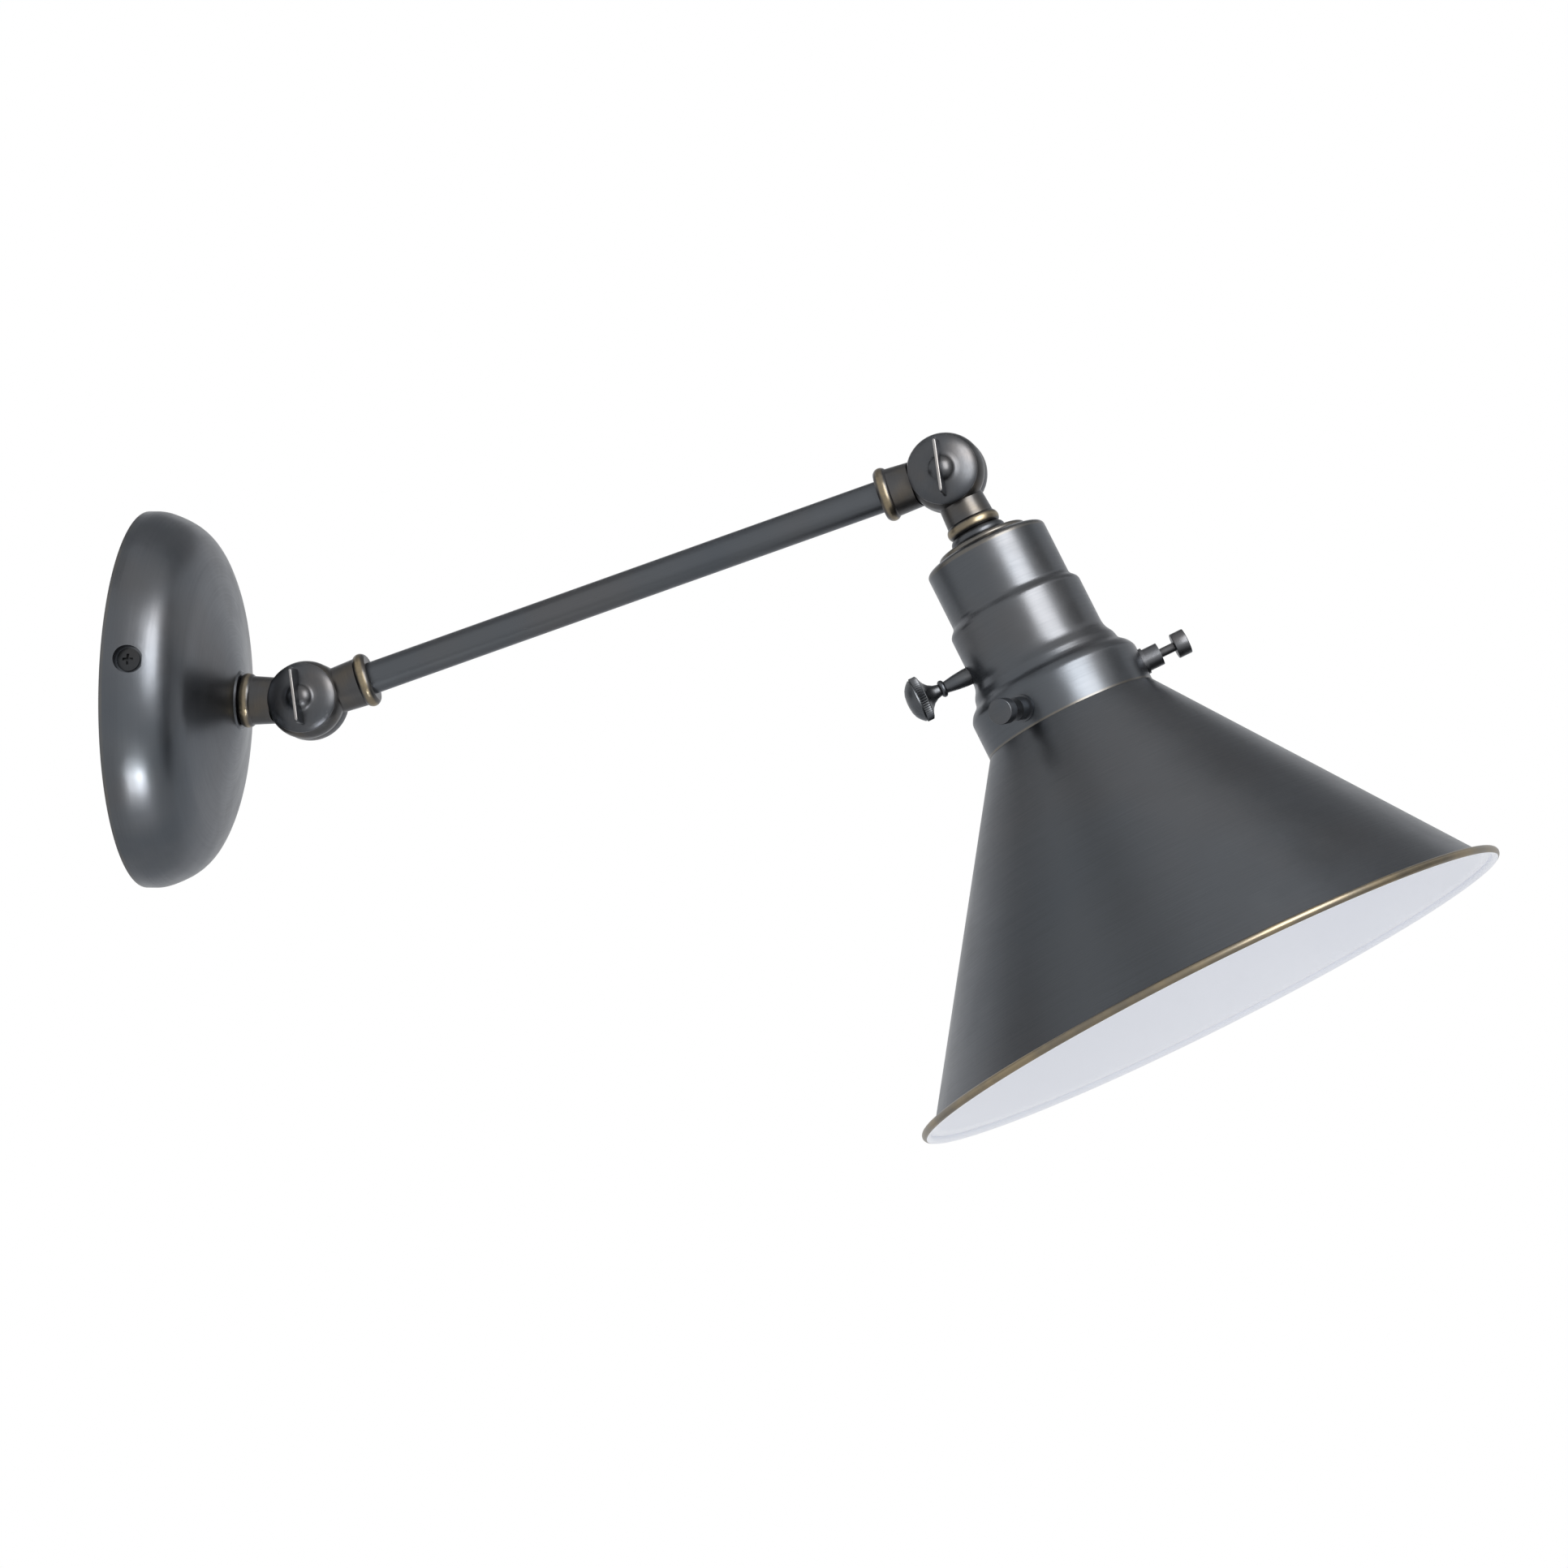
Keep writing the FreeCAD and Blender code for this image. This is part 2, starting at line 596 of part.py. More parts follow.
def thumb_turn():
    """Disc, boss and blade in one casting, drawn along +X and turned to -Y."""
    back = KNUCKLE_NEAR_DEPTH + THUMB_BACK_GAP
    hub = KNUCKLE_NEAR_DEPTH + RUNNING_GAP + SPRING_WASHER_THICKNESS
    rim = back + THUMB_RIM_THICKNESS
    crown = rim + THUMB_CROWN
    top = crown + THUMB_BOSS_HEIGHT
    line = Outline(hub, 0)
    line.line(hub, SPRING_WASHER_RADIUS + CURVED_GAP)
    line.line(back, SPRING_WASHER_RADIUS + CURVED_GAP)
    line.line(back, THUMB_DISC_RADIUS - 0.5)
    line.arc((back + THUMB_RIM_THICKNESS / 2.0, THUMB_DISC_RADIUS), (rim, THUMB_DISC_RADIUS - 0.35))
    swell = (THUMB_DISC_RADIUS + THUMB_BOSS_RADIUS) / 2.0
    line.arc((rim + THUMB_CROWN * 0.66, swell), (crown, THUMB_BOSS_RADIUS + 0.3))
    line.line(crown + 0.3, THUMB_BOSS_RADIUS)
    line.crown(top)
    disc = turned(line)

    tip = rim + THUMB_BLADE_HEIGHT
    half = THUMB_BLADE_LENGTH / 2.0
    edge = THUMB_BLADE_CORNER
    bow = edge * (1.0 - math.sqrt(0.5))
    thin = THUMB_BLADE_THICKNESS / 2.0
    root = back + THUMB_RIM_THICKNESS / 2.0

    def spot(x, z):
        return Vector(x, -thin, z)

    sides = [
        Part.LineSegment(spot(root, -half), spot(tip - edge, -half)),
        Part.Arc(spot(tip - edge, -half), spot(tip - bow, -half + bow), spot(tip, -half + edge)),
        Part.LineSegment(spot(tip, -half + edge), spot(tip, half - edge)),
        Part.Arc(spot(tip, half - edge), spot(tip - bow, half - bow), spot(tip - edge, half)),
        Part.LineSegment(spot(tip - edge, half), spot(root, half)),
        Part.LineSegment(spot(root, half), spot(root, -half)),
    ]
    wire = Part.Wire([side.toShape() for side in sides])
    blade = Part.Face(wire).extrude(Vector(0, THUMB_BLADE_THICKNESS, 0))
    turn = disc.fuse(blade).removeSplitter()
    turn = turn.cut(rod(hub - 1, crown, CLAMP_SCREW_RADIUS + FIT_GAP))
    return moved(sideways(turn, True), Vector(0, 1, 0), -THUMB_BLADE_LEAN, Vector(0, 0, 0))


def clamp_screw():
    """The stud from the thumb turn into the far half."""
    crown = KNUCKLE_NEAR_DEPTH + THUMB_BACK_GAP + THUMB_RIM_THICKNESS + THUMB_CROWN
    return sideways(rod(-CLAMP_SCREW_END, crown, CLAMP_SCREW_RADIUS), True)


def spring_washer():
    """The washer under the thumb turn, just clear of the near half."""
    start = KNUCKLE_NEAR_DEPTH + RUNNING_GAP
    ring = tube(start, start + SPRING_WASHER_THICKNESS, SPRING_WASHER_RADIUS,
                CLAMP_SCREW_RADIUS + FIT_GAP)
    return sideways(ring, True)


def make_swivels():
    """Both swivels: the base and the arm carry far halves, the arm and the head near ones."""
    base = knuckle_half(False, BASE_COLLAR_REACH, NIPPLE_RADIUS, NIPPLE_ENGAGED)
    arm_lower = knuckle_half(True, ARM_COLLAR_REACH, ARM_TUBE_RADIUS, ARM_SOCKET_DEPTH)
    arm_upper = knuckle_half(False, ARM_COLLAR_REACH, ARM_TUBE_RADIUS, ARM_SOCKET_DEPTH)
    head = knuckle_half(True, HEAD_COLLAR_REACH, NIPPLE_RADIUS, NIPPLE_ENGAGED)
    save("base_knuckle", aimed(base, 180.0, LOWER_JOINT))
    save("arm_lower_knuckle", aimed(arm_lower, ARM_ELEVATION, LOWER_JOINT))
    save("arm_upper_knuckle", aimed(arm_upper, ARM_ELEVATION + 180.0, UPPER_JOINT))
    save("head_knuckle", on_head(head))
    for name, joint in (("lower", LOWER_JOINT), ("upper", UPPER_JOINT)):
        pieces = {
            "_friction_washer": friction_washer(),
            "_thumb_turn": thumb_turn(),
            "_clamp_screw": clamp_screw(),
            "_spring_washer": spring_washer(),
        }
        for piece, shape in pieces.items():
            save(name + piece, aimed(shape, 0.0, joint))


def make_arm_tube():
    """The tube between the two knuckle sockets."""
    start = ARM_COLLAR_REACH - ARM_SOCKET_DEPTH
    pipe = tube(start, ARM_LENGTH - start, ARM_TUBE_RADIUS, ARM_TUBE_RADIUS - ARM_TUBE_WALL)
    save("arm_tube", aimed(pipe, ARM_ELEVATION, LOWER_JOINT))


# ---------------------------------------------------------------- head

def make_head_fasteners():
    """The coupling ring, nipple, washer and nut that hold the cup."""
    ring = Outline(HEAD_COLLAR_REACH, 0)
    ring.line(HEAD_COLLAR_REACH, COUPLING_RING_RADIUS - 1.0)
    ring.arc((HEAD_COLLAR_REACH + COUPLING_RING_WIDTH * 0.45, COUPLING_RING_RADIUS),
             (CUP_START, COUPLING_RING_RADIUS - 1.2))
    ring.line(CUP_START, 0)
    bore = rod(HEAD_COLLAR_REACH - 1, CUP_START + 1, NIPPLE_RADIUS + FIT_GAP)
    save("head_coupling_ring", on_head(turned(ring).cut(bore)))

    washer_start = CUP_START + CUP_WALL
    nut_start = washer_start + WASHER_THICKNESS
    nipple_start = HEAD_COLLAR_REACH - NIPPLE_ENGAGED
    nipple_end = CAP_START + CAP_HUB_LENGTH
    save("head_nipple", on_head(tube(nipple_start, nipple_end, NIPPLE_RADIUS, NIPPLE_BORE)))
    washer = tube(washer_start, nut_start, WASHER_RADIUS, NIPPLE_RADIUS + FIT_GAP)
    save("head_washer", on_head(washer))
    save("head_nut", on_head(nut(nut_start)))


def cup_outline():
    """From the nipple's hole, over both steps and the flare, to the holder ring's edge."""
    boss_edge = CUP_START + CUP_BOSS_HEIGHT
    upper_start = boss_edge + CUP_SHOULDER_HEIGHT
    step_end = CUP_UPPER_END + CUP_STEP_LENGTH
    step_middle = (CUP_UPPER_END + step_end) / 2.0
    step_radius = (CUP_UPPER_RADIUS + CUP_LOWER_RADIUS) / 2.0
    line = Outline(CUP_START, NIPPLE_RADIUS + RUNNING_GAP)
    line.line(CUP_START, CUP_BOSS_RADIUS - 1.3)
    line.arc((CUP_START + 0.4, CUP_BOSS_RADIUS - 0.4), (CUP_START + 1.3, CUP_BOSS_RADIUS))
    line.curve([(boss_edge, CUP_BOSS_RADIUS + 1.5)], (1, 0), (0.3, 1))
    line.curve([(boss_edge + 1.0, CUP_UPPER_RADIUS - 1.1), (upper_start, CUP_UPPER_RADIUS)],
               (0.3, 1), (1, 0))
    line.line(CUP_UPPER_END, CUP_UPPER_RADIUS)
    line.curve([(step_middle, step_radius), (step_end, CUP_LOWER_RADIUS)], (1, 0), (1, 0))
    line.line(CUP_LOWER_END, CUP_LOWER_RADIUS)
    ridge = CUP_RIDGE_AT
    lead = CUP_HOLDER_START - ridge
    swell = CUP_HOLDER_RADIUS - CUP_RIDGE_RADIUS
    line.curve([
        (ridge - 2.4, CUP_RIDGE_RADIUS - 1.3),
        (ridge, CUP_RIDGE_RADIUS),
        (ridge + lead * 0.26, CUP_RIDGE_RADIUS + swell * 0.14),
        (ridge + lead * 0.52, CUP_RIDGE_RADIUS + swell * 0.66),
        (ridge + lead * 0.74, CUP_RIDGE_RADIUS + swell * 0.93),
        (CUP_HOLDER_START, CUP_HOLDER_RADIUS),
    ], (1, 0), (1, 0))
    line.line(CUP_END, CUP_HOLDER_RADIUS)
    return line


def screw_clocks():
    """The clock angles of the shade screws."""
    step = 360.0 / SHADE_SCREW_COUNT
    return [SHADE_SCREW_CLOCK + step * index for index in range(SHADE_SCREW_COUNT)]


def make_cup():
    """The spun cup with the switch's hole and the holes for the bushes."""
    cup = shell(cup_outline(), CUP_WALL)
    stem_hole = rod(CUP_UPPER_RADIUS - 4, CUP_HOLDER_RADIUS, KNOB_STEM_RADIUS + KNOB_STEM_HOLE_GAP)
    cup = cup.cut(radial(stem_hole, SWITCH_T, SWITCH_CLOCK))
    for clock in screw_clocks():
        hole = rod(CUP_HOLDER_RADIUS - 4, CUP_HOLDER_RADIUS + 4, BUSH_SPIGOT_RADIUS + FIT_GAP)
        cup = cup.cut(radial(hole, SHADE_SCREW_T, clock))
    save("socket_cup", on_head(cup))


def make_bushes():
    """Three bushes, each with a spigot through the holder ring's wall."""
    bushes = []
    inner = CUP_HOLDER_RADIUS - CUP_WALL
    for clock in screw_clocks():
        barrel = rod(inner, BUSH_END, BUSH_RADIUS)
        flange = rod(inner, CUP_HOLDER_RADIUS + BUSH_FLANGE_THICKNESS, BUSH_FLANGE_RADIUS)
        bush = radial(barrel.fuse(flange), SHADE_SCREW_T, clock)
        bush = bush.cut(rod(0, 2 * SHADE_SCREW_T, CUP_HOLDER_RADIUS + FIT_GAP))
        spigot = rod(inner + FIT_GAP, CUP_HOLDER_RADIUS + 1.0, BUSH_SPIGOT_RADIUS)
        bush = bush.fuse(radial(spigot, SHADE_SCREW_T, clock))
        thread = rod(inner - 2, BUSH_END + 1, SHADE_SCREW_RADIUS + RUNNING_GAP)
        bushes.append(on_head(bush.cut(radial(thread, SHADE_SCREW_T, clock)).removeSplitter()))
    save("shade_screw_bushes", *bushes)


def make_shade_screws():
    """Three plain thumbscrews that hold the shade's neck."""
    tip = SHADE_NECK_RADIUS + SHADE_SCREW_TIP_GAP
    head_end = SHADE_SCREW_HEAD_AT + SHADE_SCREW_HEAD_LENGTH
    line = Outline(tip, 0)
    line.line(tip, SHADE_SCREW_RADIUS)
    line.line(SHADE_SCREW_HEAD_AT, SHADE_SCREW_RADIUS)
    line.line(SHADE_SCREW_HEAD_AT, SHADE_SCREW_HEAD_RADIUS - 0.3)
    line.line(SHADE_SCREW_HEAD_AT + 0.3, SHADE_SCREW_HEAD_RADIUS)
    line.line(head_end - 0.3, SHADE_SCREW_HEAD_RADIUS)
    line.line(head_end, SHADE_SCREW_HEAD_RADIUS - 0.3)
    line.line(head_end, 0)
    for index, clock in enumerate(screw_clocks()):
        screw = radial(turned(line), SHADE_SCREW_T, clock)
        save("shade_screw_" + str(index + 1), on_head(screw))


def make_shade():
    """The cone with its neck above, and its flange and rolled lip below."""
    roll_at = SHADE_END - SHADE_ROLL_RADIUS / 2.0
    flange = roll_at - SHADE_WALL / 2.0
    line = Outline(SHADE_NECK_START, SHADE_NECK_RADIUS)
    line.line(SHADE_START, SHADE_NECK_RADIUS)
    line.line(flange, SHADE_MOUTH_RADIUS)
    line.line(flange, SHADE_LIP_RADIUS)
    cone = shell(line, SHADE_WALL)
    lip = tube(SHADE_NECK_START, SHADE_NECK_START + SHADE_NECK_LIP_WIDTH,
               SHADE_NECK_LIP_RADIUS, SHADE_NECK_RADIUS - SHADE_WALL / 2.0)
    roll = Part.makeTorus(SHADE_LIP_RADIUS, SHADE_ROLL_RADIUS, Vector(roll_at, 0, 0), Vector(1, 0, 0))
    save("shade", on_head(cone.fuse(lip).fuse(roll).removeSplitter()))


# ---------------------------------------------------------------- lampholder and switch

def make_lampholder():
    """Cap, shell, sleeve, switch block, contacts and screw shell."""
    cap_rim = HOLDER_SHELL_RADIUS + RUNNING_GAP + CAP_WALL
    dome = Outline(CAP_START, NIPPLE_RADIUS + FIT_GAP)
    dome.line(CAP_START, CAP_HUB_RADIUS)
    dome.curve([(CAP_START + CAP_DEPTH * 0.35, cap_rim * 0.86), (CAP_START + CAP_DEPTH * 0.8, cap_rim)],
               (0.2, 1), (1, 0))
    dome.line(CAP_START + CAP_DEPTH + CAP_HUB_LENGTH, cap_rim)
    cap = shell(dome, CAP_WALL)
    hub = tube(CAP_START, CAP_START + CAP_HUB_LENGTH, CAP_HUB_RADIUS, NIPPLE_RADIUS + FIT_GAP)
    save("lampholder_cap", on_head(cap.fuse(hub).removeSplitter()))

    clear = rod(0, 2 * HOLDER_SHELL_RADIUS, SPINDLE_RADIUS + CURVED_GAP)
    clear = radial(clear, SWITCH_T, SWITCH_CLOCK)
    casing = tube(HOLDER_SHELL_START, HOLDER_END, HOLDER_SHELL_RADIUS,
                  HOLDER_SHELL_RADIUS - HOLDER_SHELL_WALL)
    save("lampholder_shell", on_head(casing.cut(clear)))
    sleeve = tube(SLEEVE_START, SLEEVE_END, SLEEVE_RADIUS, SLEEVE_BORE)
    save("insulating_sleeve", on_head(sleeve.cut(clear)))

    body = rod(SWITCH_BLOCK_START, SWITCH_BLOCK_END, BLOCK_RADIUS)
    bore = rod(0, 2 * BLOCK_RADIUS, SPINDLE_RADIUS + RUNNING_GAP)
    room = rod(ROTOR_START - CURVED_GAP, ROTOR_START + ROTOR_LENGTH + CURVED_GAP,
               ROTOR_RADIUS + CURVED_GAP)
    body = body.cut(radial(bore.fuse(room), SWITCH_T, SWITCH_CLOCK))
    screws = []
    for side in (-1, 1):
        place = Vector(0, side * TERMINAL_SCREW_AT, 0)
        deep = SWITCH_BLOCK_START + TERMINAL_SCREW_LENGTH
        hole = rod(SWITCH_BLOCK_START - 1, deep, TERMINAL_SCREW_RADIUS + FIT_GAP)
        shank = rod(SWITCH_BLOCK_START, deep, TERMINAL_SCREW_RADIUS)
        head = rod(SWITCH_BLOCK_START - TERMINAL_HEAD_HEIGHT, SWITCH_BLOCK_START, TERMINAL_HEAD_RADIUS)
        slot = block(Vector(SWITCH_BLOCK_START - TERMINAL_HEAD_HEIGHT - 1, -TERMINAL_HEAD_RADIUS, -0.4),
                     Vector(SWITCH_BLOCK_START - TERMINAL_HEAD_HEIGHT / 2.0, TERMINAL_HEAD_RADIUS, 0.4))
        screw = shank.fuse(head).removeSplitter().cut(slot)
        for piece in (hole, screw):
            piece.translate(place)
        body = body.cut(hole)
        screws.append(on_head(screw))
    save("switch_block", on_head(body))
    save("terminal_screws", *screws)

    plate = rod(SWITCH_BLOCK_END, SCREW_SHELL_START, BLOCK_RADIUS)
    well = rod(CONTACT_START, SCREW_SHELL_START + 1, SCREW_SHELL_FLOOR_HOLE)
    save("contact_plate", on_head(plate.cut(well)))
    contact = rod(CONTACT_START, CONTACT_START + CENTRE_CONTACT_HEIGHT, CENTRE_CONTACT_RADIUS)
    save("centre_contact", on_head(contact))
    outer = rod(SCREW_SHELL_START, SCREW_SHELL_END, SCREW_SHELL_BORE + SCREW_SHELL_WALL)
    thread = rod(SCREW_SHELL_START + SCREW_SHELL_WALL, SCREW_SHELL_END + 1, SCREW_SHELL_BORE)
    floor_hole = rod(SCREW_SHELL_START - 1, SCREW_SHELL_START + 1, SCREW_SHELL_FLOOR_HOLE)
    save("screw_shell", on_head(outer.cut(thread).cut(floor_hole)))


def knurled_band(start, end):
    """A ring with fine ridges along its edge."""
    ring = []
    for step in range(2 * KNURL_COUNT + 1):
        radius = KNOB_BAND_RADIUS - (KNURL_DEPTH if step % 2 else 0.0)
        turn = math.pi * step / KNURL_COUNT
        ring.append(Vector(start, radius * math.cos(turn), radius * math.sin(turn)))
    return Part.Face(Part.makePolygon(ring)).extrude(Vector(end - start, 0, 0))


def make_switch():
    """The knob outside the cup, and the spindle with its rotor inside."""
    ring_end = KNOB_WAIST_AT + KNOB_RING_WIDTH
    band_end = KNOB_TRUMPET_END + KNOB_BAND_WIDTH
    line = Outline(KNOB_STEM_START, 0)
    line.line(KNOB_STEM_START, KNOB_STEM_RADIUS)
    line.curve([((KNOB_STEM_START + KNOB_WAIST_AT) / 2.0, KNOB_STEM_RADIUS * 0.92),
                (KNOB_WAIST_AT, KNOB_WAIST_RADIUS)], (1, 0), (1, -0.12))
    line.arc((KNOB_WAIST_AT + KNOB_RING_WIDTH / 2.0, KNOB_RING_RADIUS), (ring_end, KNOB_WAIST_RADIUS))
    trumpet = KNOB_TRUMPET_END - ring_end
    line.curve([(ring_end + trumpet * 0.6, KNOB_WAIST_RADIUS + 1.4),
                (KNOB_TRUMPET_END, KNOB_TRUMPET_RADIUS)], (1, 0.1), (0.35, 1))
    line.line(band_end, KNOB_TRUMPET_RADIUS)
    line.line(band_end + 0.5, KNOB_FACE_RADIUS)
    line.crown(KNOB_END)
    knob = turned(line).fuse(knurled_band(KNOB_TRUMPET_END + 0.2, band_end - 0.2))
    knob = knob.cut(rod(KNOB_STEM_START - 1, SPINDLE_END + 0.3, SPINDLE_RADIUS + FIT_GAP))
    save("switch_knob", on_head(radial(knob, SWITCH_T, SWITCH_CLOCK)))

    rotor = rod(ROTOR_START, ROTOR_START + ROTOR_LENGTH, ROTOR_RADIUS)
    spindle = rod(ROTOR_START, SPINDLE_END, SPINDLE_RADIUS).fuse(rotor).removeSplitter()
    save("switch_spindle", on_head(radial(spindle, SWITCH_T, SWITCH_CLOCK)))


# ---------------------------------------------------------------- build

os.makedirs("parts", exist_ok=True)
make_canopy()
make_side_screws()
make_bracket()
make_ground_screw()
make_neck_fasteners()
make_swivels()
make_arm_tube()
make_head_fasteners()
make_cup()
make_bushes()
make_shade_screws()
make_shade()
make_lampholder()
make_switch()
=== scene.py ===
"""Looks of an articulating wall lamp, dressed over its solid model.

The lamp has a round canopy on the wall, two clamped swivels, a straight arm, and
a head with a socket cup and a conical shade. Most solids of the frame keep their
shape and are given a finish. The shade, the switch's knob, the shade screws and
the thumb turns are drawn again with finer rounding, in place of their solids.
Pieces are drawn in millimetres along +X and become metres when they are placed.
"""

import json
import logging
import math
from dataclasses import dataclass, replace
from enum import Enum
from typing import Iterable

import bmesh
import bpy
from mathutils import Matrix, Vector

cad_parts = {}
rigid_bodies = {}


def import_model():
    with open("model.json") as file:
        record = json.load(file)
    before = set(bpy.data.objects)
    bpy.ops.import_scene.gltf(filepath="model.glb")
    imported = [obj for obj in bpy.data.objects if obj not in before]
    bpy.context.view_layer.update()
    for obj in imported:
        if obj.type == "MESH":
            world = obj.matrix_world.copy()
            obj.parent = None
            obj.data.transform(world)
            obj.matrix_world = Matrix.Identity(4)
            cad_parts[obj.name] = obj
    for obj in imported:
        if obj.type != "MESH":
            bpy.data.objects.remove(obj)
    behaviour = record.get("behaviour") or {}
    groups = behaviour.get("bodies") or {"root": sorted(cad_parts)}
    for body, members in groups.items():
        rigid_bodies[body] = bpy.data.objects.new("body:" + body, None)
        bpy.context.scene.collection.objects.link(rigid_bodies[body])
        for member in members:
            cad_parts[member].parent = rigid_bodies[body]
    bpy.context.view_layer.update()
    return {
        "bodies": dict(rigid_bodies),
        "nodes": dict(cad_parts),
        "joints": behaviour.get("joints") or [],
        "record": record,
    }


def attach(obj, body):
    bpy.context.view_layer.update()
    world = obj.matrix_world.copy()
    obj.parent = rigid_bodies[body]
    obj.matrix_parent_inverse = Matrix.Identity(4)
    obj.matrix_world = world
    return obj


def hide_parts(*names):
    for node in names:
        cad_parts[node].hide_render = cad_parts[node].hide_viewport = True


LOG = logging.getLogger("wall_lamp")

MM = 0.001
QUARTER_TURN = math.radians(90.0)
FULL_TURN = math.radians(360.0)

Colour = tuple[float, float, float]
Pair = tuple[float, float]
Triple = tuple[float, float, float]


# ---------------------------------------------------------------- the lamp's own axes


@dataclass(frozen=True)
class TurningAxis:
    """A line that round pieces are turned about.

    A piece is drawn along +X and the axis carries it to its place.
    """

    origin: Triple
    elevation: float

    def matrix(self) -> Matrix:
        """The placement, in metres, of a piece drawn in millimetres along +X."""
        place = Matrix.Translation(Vector(self.origin) * MM)
        turn = Matrix.Rotation(math.radians(-self.elevation), 4, "Y")
        return place @ turn @ Matrix.Scale(MM, 4)


@dataclass(frozen=True)
class LampLayout:
    """Where the lamp's two joints and its head lie."""

    lower_reach: float = 55.0
    arm_length: float = 228.6
    arm_elevation: float = 19.8
    head_elevation: float = -62.1

    def lower_joint(self) -> Triple:
        """The lower joint's centre."""
        return (self.lower_reach, 0.0, 0.0)

    def upper_joint(self) -> Triple:
        """The upper joint's centre."""
        angle = math.radians(self.arm_elevation)
        return (self.lower_reach + self.arm_length * math.cos(angle), 0.0,
                self.arm_length * math.sin(angle))

    def wall_axis(self) -> TurningAxis:
        """The axis of the canopy, straight out of the wall."""
        return TurningAxis((0.0, 0.0, 0.0), 0.0)

    def base_axis(self) -> TurningAxis:
        """From the lower joint back to the canopy."""
        return TurningAxis(self.lower_joint(), 180.0)

    def arm_axis(self) -> TurningAxis:
        """From the lower joint along the arm."""
        return TurningAxis(self.lower_joint(), self.arm_elevation)

    def arm_end_axis(self) -> TurningAxis:
        """From the upper joint back along the arm."""
        return TurningAxis(self.upper_joint(), self.arm_elevation + 180.0)

    def head_axis(self) -> TurningAxis:
        """From the upper joint along the head."""
        return TurningAxis(self.upper_joint(), self.head_elevation)

    def radial_matrix(self, along: float, clock: float) -> Matrix:
        """The placement of a piece that stands out of the head.

        Args:
            along: distance from the upper joint along the head.
            clock: angle round the head, from its upper side towards the viewer.

        Returns:
            The matrix for a piece drawn in millimetres along +X.
        """
        lay = Matrix.Translation(Vector((along, 0.0, 0.0)))
        spin = Matrix.Rotation(math.radians(clock), 4, "X")
        stand = Matrix.Rotation(-QUARTER_TURN, 4, "Y")
        return self.head_axis().matrix() @ lay @ spin @ stand


LAYOUT = LampLayout()


# ---------------------------------------------------------------- shader helpers


